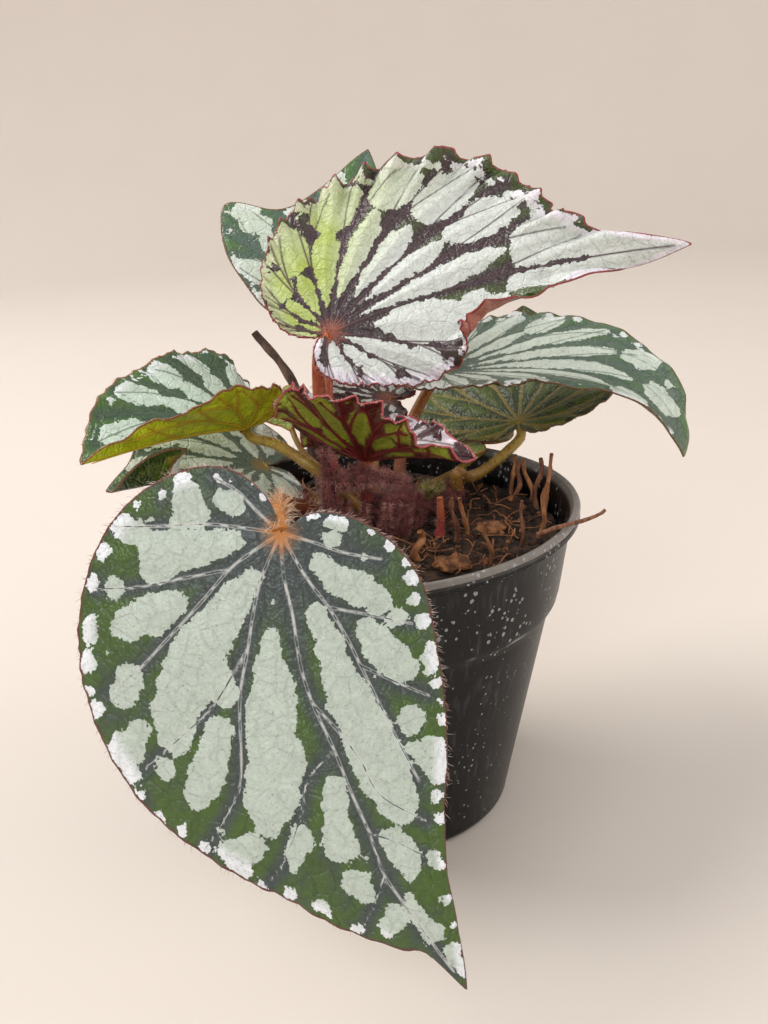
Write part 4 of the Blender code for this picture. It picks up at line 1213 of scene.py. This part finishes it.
def build_margin_hairs(name, rng):
    """Short hairs standing out from the blade's edge."""
    leaf = LEAVES[name]
    count, longest = MARKS[name]["hairs"]
    degrees = rng.uniform(-leaf["right"][-1][0], leaf["left"][-1][0], count)
    rim, normals = surface(name, np.full(count, 0.998), degrees)
    inside, _ = surface(name, np.full(count, 0.95), degrees)
    ways = unit(rim - inside) + rng.normal(0, 0.35, (count, 3)) - normals * 0.15
    lengths = longest * MM * rng.uniform(0.35, 1.0, count)
    hairs = hair_mesh(rim - normals * MARGIN_THICKNESS / 2, ways, lengths, MARGIN_HAIR_RADIUS, rng)
    add_piece(f"margin_hairs_{name}", hairs, MATERIALS["edge_hair"])


# --- stalks and crown -----------------------------------------------------------------------

def spring_point(spring, leaving):
    """A place on the rhizome's skin, and the way out of it nearest to `leaving`."""
    axis = (RHIZOME_RIGHT - RHIZOME_LEFT).normalized()
    way = Vector(leaving)
    way = (way - axis * way.dot(axis)).normalized()
    return RHIZOME_LEFT.lerp(RHIZOME_RIGHT, spring) + way * RHIZOME_RADIUS * 0.6, way


def stalk_route(name):
    """The stalk's middle line, from the rhizome's skin to the underside of the blade."""
    spring, leaving, passing, low_radius, high_radius = STALKS[name]
    leaf = LEAVES[name]
    _, turn = blade_placing(leaf)
    along, upper = Vector(turn[:, 0]), Vector(turn[:, 2])
    start, leaving = spring_point(spring, leaving)
    end = Vector(leaf["junction"]) - upper * BLADE_THICKNESS * 0.9
    approach = end - upper * 2 * high_radius - along * 2.5 * high_radius
    return smooth_route((start, start + leaving * 3 * low_radius, *passing, approach, end), 9)


def hairs_on(route, radii, count, length, rng, high=1.0):
    """Hairs standing off a tube, from its foot to share high of its length."""
    tangents, first, second = frames_along(route)
    place = rng.uniform(0.0, high, count) * (len(route) - 1)
    angle = rng.uniform(0, 2 * math.pi, count)

    def at(values):
        steps = np.arange(len(route))
        return np.stack([np.interp(place, steps, values[:, axis]) for axis in range(3)], axis=-1)

    out = unit(at(first) * np.cos(angle)[:, None] + at(second) * np.sin(angle)[:, None])
    radius = np.interp(place, np.arange(len(route)), radii)
    roots = at(route) + out * (radius * 0.9)[:, None]
    ways = out + at(tangents) * HAIR_LEAN + rng.normal(0, 0.25, (count, 3))
    return hair_mesh(roots, ways, length * MM * rng.uniform(0.4, 1.0, count), HAIR_RADIUS, rng)


def build_stalk(name, rng):
    """A stalk that flares at its foot and where the blade joins it, with its coat of hairs."""
    _, _, _, low_radius, high_radius = STALKS[name]
    route = stalk_route(name)
    share = np.linspace(0, 1, len(route))
    radii = low_radius + (high_radius - low_radius) * share
    flare = 0.25 * np.clip((share - 0.93) / 0.07, 0, 1) + 0.30 * np.clip((0.10 - share) / 0.10, 0, 1)
    radii = radii * (1 + flare)
    skin, count, length, high, coat = STALK_COATS[name]
    shape = tube_mesh(route, radii, 16, 0.10, hash_of(name))
    add_piece(f"stem_{name}", shape, MATERIALS[skin], f"stalk_{name}")
    hairs = hairs_on(route, radii, count, length, rng, high)
    add_piece(f"hairs_{name}", hairs, MATERIALS[coat])


def hash_of(name):
    """A steady number for a name."""
    return sum(ord(letter) * (index + 1) for index, letter in enumerate(name)) % 97


def fuzzy_tube(name, node, slot, points, low_radius, high_radius, bulge, skin, coat, count, length, rng):
    """A tube that swells by `bulge` in its middle, with `count` hairs up to `length` mm long."""
    route = smooth_route(points, 10)
    share = np.linspace(0, 1, len(route))
    radii = (low_radius + (high_radius - low_radius) * share) * (1 + bulge * np.sin(math.pi * share))
    add_piece(name, tube_mesh(route, radii, 14, 0.30, hash_of(name)), MATERIALS[skin], node)
    if count:
        hairs = hairs_on(route, radii, count, length, rng)
        add_piece(f"{name}_hairs", hairs, MATERIALS[coat])


def build_crown(rng):
    """The creeping rhizome with its papery, furry scales, the shoots and the old stalk."""
    rhizome = (RHIZOME_LEFT, RHIZOME_LEFT.lerp(RHIZOME_RIGHT, 0.5), RHIZOME_RIGHT)
    bud_foot, bud_way = spring_point(0.72, (0.0, -0.6, 0.7))
    bud = (bud_foot, bud_foot + bud_way * 0.003, BUD_TIP)
    maroon, pink = ("fuzzy_maroon", "hair_maroon"), ("fuzzy_maroon", "hair_pink")
    red = ("stalk_red", "hair_pink")
    for part in (
        ("crown_rhizome", "rhizome", "fuzzy_stem", rhizome, 0.0043, 0.0036, 0.08, *maroon, 2200, 3.0),
        ("scale_tall", "stipule_tall", "fuzzy_stem", STIPULE_TALL, 0.0022, 0.0006, 0.2, *pink, 1100, 2.6),
        ("scale_long", "stipule_long", "fuzzy_stem", STIPULE_LONG, 0.0020, 0.0005, 0.3, *pink, 1500, 2.8),
        ("pink_shoot", "shoot_red", "stalk_red", SHOOT, 0.0013, 0.0008, 0.0, *red, 160, 0.9),
        ("olive_bud", "leaf_bud", "bud", bud, 0.0016, 0.0007, 0.5, "bud_olive", "hair_olive", 700, 1.8),
        ("old_stalk", "stalk_dead", "dry_stem", OLD_STALK, 0.0016, 0.0011, 0.0, "dry_grey", None, 0, 0.0),
    ):
        fuzzy_tube(*part, rng)
    build_scales(rng)


def build_scales(rng):
    """Furry scales and stumps crowded round the foot of the stalks, drawn up from the rhizome."""
    parts, coats = [], []
    for index, (x, y, high, lean_x, lean_y, thick) in enumerate(SCALES):
        foot = np.array([x, y, SCALE_FOOT])
        top = np.array([x + lean_x, y + lean_y, high])
        middle = (foot + top) / 2 + np.array([0.0, -0.0008, 0.0])
        route = smooth_route((foot, middle, top), 8)
        radii = thick * np.linspace(1.0, 0.25, len(route))
        parts.append(tube_mesh(route, radii, 12, 0.35, 11.0 * index))
        coats.append(hairs_on(route, radii, 420, 2.4, rng))
    add_piece("crown_scales", joined(parts), MATERIALS["fuzzy_maroon"])
    add_piece("crown_scale_hairs", joined(coats), MATERIALS["hair_pink"])


# --- soil and what lies on it ---------------------------------------------------------------

def wall_radius(height):
    """Outer radius of the pot's wall below the rim's lip."""
    if height < POT_STEP_HEIGHT:
        share = height / POT_STEP_HEIGHT
        return POT_BASE_RADIUS + (POT_STEP_RADIUS - POT_BASE_RADIUS) * share
    share = (height - POT_STEP_HEIGHT) / (POT_HEIGHT - POT_STEP_HEIGHT)
    return POT_COLLAR_RADIUS + (POT_RIM_RADIUS - RIM_LIP_WIDTH - POT_COLLAR_RADIUS) * share


def soil_height(x, y):
    """The soil's rough surface: clods, hollows and a little bank against the wall."""
    at = Vector((x, y, 0.0))
    clods = 0.9 * noise.noise(at * 110) + 0.7 * noise.noise(at * 260) + 0.35 * noise.noise(at * 620)
    ridged = 0.8 * (1 - abs(noise.noise(at * 190 + Vector((5, 0, 0))))) - 0.4
    bank = 1.2 * max(0.0, math.hypot(x, y) / 0.05 - 0.8)
    return SOIL_TOP + 0.001 + (clods + ridged + bank) * MM


def build_soil(rng):
    """The rough top, closed by a plain skirt down inside the pot's wall."""
    low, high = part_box("potting_soil")
    rim = high[0] - 0.0002
    rings, spokes = 110, 300
    radius = rim * np.linspace(0.004, 1.0, rings) ** 0.85
    angle = np.linspace(0, 2 * math.pi, spokes, endpoint=False)
    points = [
        (r * math.cos(a), r * math.sin(a), soil_height(r * math.cos(a), r * math.sin(a)))
        for r in radius for a in angle
    ]
    clear = POT_WALL + 0.0006
    skirt = (
        (rim - 0.001, SOIL_TOP - 0.004), (wall_radius(0.058) - clear, 0.057),
        (wall_radius(0.006) - clear, 0.006), (0.030, low[2]), (0.0004, low[2]),
    )
    for r, height in skirt:
        points += [(r * math.cos(a), r * math.sin(a), height) for a in angle]
    faces = grid_faces(rings + len(skirt), spokes, closed=True)
    add_piece("soil_surface", (points, faces, {}), MATERIALS["soil"], "potting_soil")
    build_crumbs(rng)
    build_fibres(rng)


def ball_ways(rows, columns):
    """Directions over a ball, row by row from its foot."""
    return [
        Vector((math.cos(a) * math.cos(b), math.cos(a) * math.sin(b), math.sin(a)))
        for a in np.linspace(-math.pi / 2, math.pi / 2, rows)
        for b in np.linspace(0, 2 * math.pi, columns, endpoint=False)
    ]


def lump_mesh(centre, size, seed, turn):
    """A small rough lump: an uneven, flattened ball."""
    rows, columns = 6, 8
    points = [
        way * (1 + 0.45 * noise.noise(way * 1.7 + Vector((seed, seed, 0)))) for way in ball_ways(rows, columns)
    ]
    local = np.array(points) * size
    c, s = math.cos(turn), math.sin(turn)
    local = local @ np.array([[c, s, 0], [-s, c, 0], [0, 0, 1]])
    return local + centre, grid_faces(rows, columns, turned=True, closed=True), {}


def scattered(rng, count, most):
    """Places on the soil, evenly over the disc out to radius `most`."""
    radius = most * np.sqrt(rng.uniform(0, 1, count))
    angle = rng.uniform(0, 2 * math.pi, count)
    return np.stack([radius * np.cos(angle), radius * np.sin(angle)], axis=-1)


def build_crumbs(rng):
    """Loose crumbs of soil, every seventh of them a bit of bark."""
    dark, pale = [], []
    for index, (x, y) in enumerate(scattered(rng, CRUMBS, LITTER_RADIUS)):
        size = MM * rng.uniform(0.35, 1.5) * np.array([1.0, rng.uniform(0.6, 1.0), rng.uniform(0.5, 0.9)])
        centre = np.array([x, y, soil_height(x, y) + size[2] * 0.35])
        lump = lump_mesh(centre, size, index * 1.7, rng.uniform(0, 6.3))
        (pale if index % 7 == 0 else dark).append(lump)
    add_piece("soil_crumbs", joined(dark), MATERIALS["soil"])
    add_piece("bark_crumbs", joined(pale), MATERIALS["bark"])


def build_fibres(rng):
    """Coir threads and fine dry roots lying across the soil."""
    for name, count, longest, thick, material in (
        ("coir_fibres", 150, 14.0, 0.00014, "dry_orange"), ("fine_roots", 90, 9.0, 0.00022, "dry_brown"),
    ):
        parts = []
        for x, y in scattered(rng, count, 0.046):
            heading = rng.uniform(0, 6.3)
            length = MM * rng.uniform(0.35, 1.0) * longest
            route, here = [], np.array([x, y])
            for bend in rng.normal(0, 0.5, 4):
                heading += bend
                route.append((*here, soil_height(*here) + rng.uniform(0.0002, 0.0022)))
                here = here + np.array([math.cos(heading), math.sin(heading)]) * length / 4
                far = np.linalg.norm(here)
                here = here * min(1.0, LITTER_RADIUS / far)
            route.append((*here, soil_height(*here) + rng.uniform(0.0002, 0.0030)))
            path = smooth_route(route, 4)
            parts.append(tube_mesh(path, np.full(len(path), thick * rng.uniform(0.6, 1.3)), 5))
        add_piece(name, joined(parts), MATERIALS[material])


def build_dry_stems():
    """The stubs of cut stems, and the twig that rests on the rim."""
    for index, (foot, top, radius) in enumerate(DRY_STEMS):
        low = np.array([*foot, soil_height(*foot) - 0.001])
        high = np.array(top)
        seed = hash_of(f"stem{index}")
        bow = radius * np.array([math.sin(seed), -0.8, 0.0]) * 1.4
        bent_out, bent_in = low * 0.6 + high * 0.4 + bow, low * 0.25 + high * 0.75 - bow * 0.5
        route = smooth_route((low, bent_out, bent_in, high), 8)
        share = np.linspace(0, 1, len(route))
        radii = radius * (1.0 - 0.3 * share) * (1 + 0.12 * np.sin(share * 17 + seed))
        shape = tube_mesh(route, radii, 10, 0.30, seed)
        material = MATERIALS["dry_orange" if index % 3 else "dry_brown"]
        add_piece(f"dry_stub_{index + 1}", shape, material, f"dry_stem_{index + 1}")
    route = smooth_route(TWIG, 7)
    shape = tube_mesh(route, np.linspace(0.0006, 0.0004, len(route)), 9, 0.25, 3.0)
    add_piece("twig_on_rim", shape, MATERIALS["dry_brown"], "rim_twig")


def build_bark_chips():
    """Rough, boxy chips, each filling the box of the solid it stands for."""
    rows, columns = 9, 18
    for index in range(1, BARK_CHIPS + 1):
        low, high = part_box(f"bark_chip_{index}")
        centre, size = (np.array(low) + high) / 2, (np.array(high) - low) / 2
        points = []
        for way in ball_ways(rows, columns):
            boxy = way / max(abs(way.x), abs(way.y), abs(way.z) * 1.2) ** 0.55
            rough = 1 + 0.30 * noise.noise(way * 2.2 + Vector((index * 3, 0, 0))) + 0.10 * noise.noise(way * 7)
            points.append(boxy * rough)
        local = np.array(points) * size * (1.05, 1.05, 1.0)
        shape = local + centre, grid_faces(rows, columns, turned=True, closed=True), {}
        add_piece(f"bark_{index}", shape, MATERIALS["bark"], f"bark_chip_{index}")


# --- pot ------------------------------------------------------------------------------------

def pot_profile():
    """(radius, height) points from the rim's top down the outside, under the foot and up the inside."""
    lip_foot = POT_HEIGHT - RIM_LIP_HEIGHT
    outside = [(POT_RIM_RADIUS - 0.0009, POT_HEIGHT), (POT_RIM_RADIUS - 0.0003, POT_HEIGHT - 0.0002)]
    outside += [(POT_RIM_RADIUS, POT_HEIGHT - 0.0008), (POT_RIM_RADIUS - 0.0001, POT_HEIGHT - 0.0015)]
    outside += [(POT_RIM_RADIUS - 0.0006, POT_HEIGHT - 0.0018), (POT_RIM_RADIUS - 0.0002, POT_HEIGHT - 0.0022)]
    outside += [(POT_RIM_RADIUS - 0.0001, lip_foot + 0.0004), (POT_RIM_RADIUS - 0.0006, lip_foot)]
    outside += [(wall_radius(lip_foot) + 0.0001, lip_foot - 0.0003), (wall_radius(lip_foot), lip_foot - 0.0009)]
    collar = np.linspace(lip_foot - 0.003, POT_STEP_HEIGHT + 0.003, 8)
    outside += [(wall_radius(height), height) for height in collar]
    edge = wall_radius(POT_STEP_HEIGHT + 0.0005)
    outside += [(edge, POT_STEP_HEIGHT + 0.0015), (edge - 0.0002, POT_STEP_HEIGHT + 0.0006)]
    outside += [(edge - 0.0008, POT_STEP_HEIGHT), (edge - 0.0014, POT_STEP_HEIGHT - 0.0002)]
    outside += [(wall_radius(POT_STEP_HEIGHT - 0.001), POT_STEP_HEIGHT - 0.0009)]
    body = np.linspace(POT_STEP_HEIGHT - 0.003, POT_FOOT_ROUND + 0.001, 14)
    outside += [(wall_radius(height), height) for height in body]
    centre = wall_radius(POT_FOOT_ROUND) - POT_FOOT_ROUND
    for angle in np.radians([0, 15, 30, 45, 60, 75, 90]):
        outside.append((centre + POT_FOOT_ROUND * math.cos(angle), POT_FOOT_ROUND * (1 - math.sin(angle))))
    inside = [(0.0, 0.0), (0.0, POT_WALL), (centre, POT_WALL)]
    heights = np.linspace(POT_FOOT_ROUND + POT_WALL, POT_STEP_HEIGHT - 0.0006, 8)
    inside += [(wall_radius(min(height, POT_STEP_HEIGHT - 0.001)) - POT_WALL, height) for height in heights]
    inside += [(wall_radius(height) - POT_WALL, height) for height in np.linspace(0.0615, lip_foot, 6)]
    inside += [(POT_RIM_RADIUS - 0.0022, POT_HEIGHT - 0.0012), (POT_RIM_RADIUS - 0.0017, POT_HEIGHT - 0.0003)]
    return outside + inside + outside[:1]


def build_pot():
    """The profile turned round the axis, with the drain holes cut through its foot."""
    mesh = bpy.data.meshes.new("pot")
    profile = pot_profile()
    mesh.from_pydata([(r, 0.0, z) for r, z in profile], [(i, i + 1) for i in range(len(profile) - 1)], [])
    pot = linked("pot_blank", mesh)
    screw = pot.modifiers.new("Turn", "SCREW")
    screw.steps = screw.render_steps = POT_SIDES
    screw.use_merge_vertices = True
    screw.merge_threshold = 0.00005
    cutters = []
    for index in range(DRAIN_HOLES):
        turn = 2 * math.pi * (index + 0.5) / DRAIN_HOLES
        route = np.array([[0, 0, -0.01], [0, 0, 0.01]]) + [
            DRAIN_RING_RADIUS * math.cos(turn), DRAIN_RING_RADIUS * math.sin(turn), 0
        ]
        points, faces, _ = tube_mesh(route, np.full(2, DRAIN_RADIUS), 32)
        shape = bpy.data.meshes.new("drain")
        shape.from_pydata(points.tolist(), [], faces)
        cutter = linked("drain", shape)
        cut = pot.modifiers.new("Drain", "BOOLEAN")
        cut.operation = "DIFFERENCE"
        cut.object = cutter
        cutters.append(cutter)
    bpy.context.view_layer.update()
    made = bpy.data.meshes.new_from_object(pot.evaluated_get(bpy.context.evaluated_depsgraph_get()))
    for spare in (pot, *cutters):
        bpy.data.objects.remove(spare, do_unlink=True)
    piece = linked("pot_shell", made)
    made.materials.clear()
    made.materials.append(pot_material())
    made.shade_smooth()
    made.set_sharp_from_angle(angle=math.radians(38))
    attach(piece, BODY)
    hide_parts("nursery_pot")


# --- stage ----------------------------------------------------------------------------------

FLOOR_COLOUR = (0.72, 0.66, 0.60)
SKY_COLOUR = (0.95, 0.96, 1.0, 1.0)
SKY_STRENGTH = 0.64
LIT_POINT = (0, 0, 0.08)
CAMERA_LENS = 38.67
CAMERA_PLACE = (0.0, -0.2689, 0.1832)
CAMERA_TURN = (0.01683, 0.35952, -0.06349)  # yaw, pitch down and roll, in radians


def build_stage():
    """A pale floor that curves up into a round wall, open above."""
    profile = [(0.0, 0.0), (0.6, 0.0), (1.1, 0.0)]
    bend = np.radians([10, 25, 40, 55, 70, 85])
    profile += [(1.1 + 0.5 * math.sin(a), 0.5 - 0.5 * math.cos(a)) for a in bend]
    profile += [(1.62, 1.2), (1.62, 1.9)]
    sides = 96
    points = []
    for radius, height in profile:
        reach = max(radius, 1e-4)
        for angle in np.linspace(0, 2 * math.pi, sides, endpoint=False):
            points.append((reach * math.cos(angle), reach * math.sin(angle), height))
    mesh = bpy.data.meshes.new("floor")
    mesh.from_pydata(points, [], grid_faces(len(profile), sides, closed=True))
    mesh.shade_smooth()
    floor = linked("floor", mesh)
    g = Graph("floor_paper", 0.9)
    g.finish("Base Color", g.shade(FLOOR_COLOUR, g.blend(g.noise(0.01, 2.0), 0.98, 1.02)))
    mesh.materials.append(g.material)


def area_light(name, place, size, power, colour):
    """A round soft light that looks at the plant."""
    data = bpy.data.lights.new(name, "AREA")
    data.shape, data.size, data.energy, data.color = "DISK", size, power, colour
    light = linked(name, data)
    way = Vector(LIT_POINT) - Vector(place)
    light.location = place
    light.rotation_euler = way.to_track_quat("-Z", "Y").to_euler()


def build_lights():
    area_light("key", (-0.75, 0.35, 1.15), 0.9, 13.5, (1.0, 0.97, 0.93))
    area_light("front", (-0.25, -1.05, 0.75), 0.9, 6.0, (0.93, 0.96, 1.0))
    area_light("right", (1.0, -0.1, 0.7), 0.8, 3.0, (1.0, 0.97, 0.94))
    world = bpy.data.worlds.new("soft_room")
    bpy.context.scene.world = world
    world.use_nodes = True
    sky = world.node_tree.nodes["Background"]
    sky.inputs["Color"].default_value = SKY_COLOUR
    sky.inputs["Strength"].default_value = SKY_STRENGTH


def build_camera():
    data = bpy.data.cameras.new("camera")
    data.lens, data.sensor_width, data.clip_start = CAMERA_LENS, 36.0, 0.01
    camera = linked("camera", data)
    yaw, pitch, roll = CAMERA_TURN
    forward = Vector((math.sin(yaw) * math.cos(pitch), math.cos(yaw) * math.cos(pitch), -math.sin(pitch)))
    right = forward.cross(Vector((0, 0, 1))).normalized()
    up = right.cross(forward)
    turned_right = right * math.cos(roll) + up * math.sin(roll)
    turned_up = up * math.cos(roll) - right * math.sin(roll)
    columns = Matrix((turned_right, turned_up, -forward)).transposed()
    camera.matrix_world = Matrix.Translation(CAMERA_PLACE) @ columns.to_4x4()
    bpy.context.scene.camera = camera
    bpy.context.scene.view_settings.view_transform = "Standard"


# --- everything -----------------------------------------------------------------------------

def build_materials():
    for name, *settings in MOTTLED:
        MATERIALS[name] = mottled_material(name, *settings)
    for name, *settings in FLESHY:
        MATERIALS[name] = stalk_material(name, *settings)


def main():
    rng = np.random.default_rng(7)
    build_camera()
    build_lights()
    build_stage()
    build_materials()
    build_pot()
    build_soil(rng)
    build_dry_stems()
    build_bark_chips()
    build_crown(rng)
    for name in LEAVES:
        build_blade(name, rng)
        build_stalk(name, rng)


main()
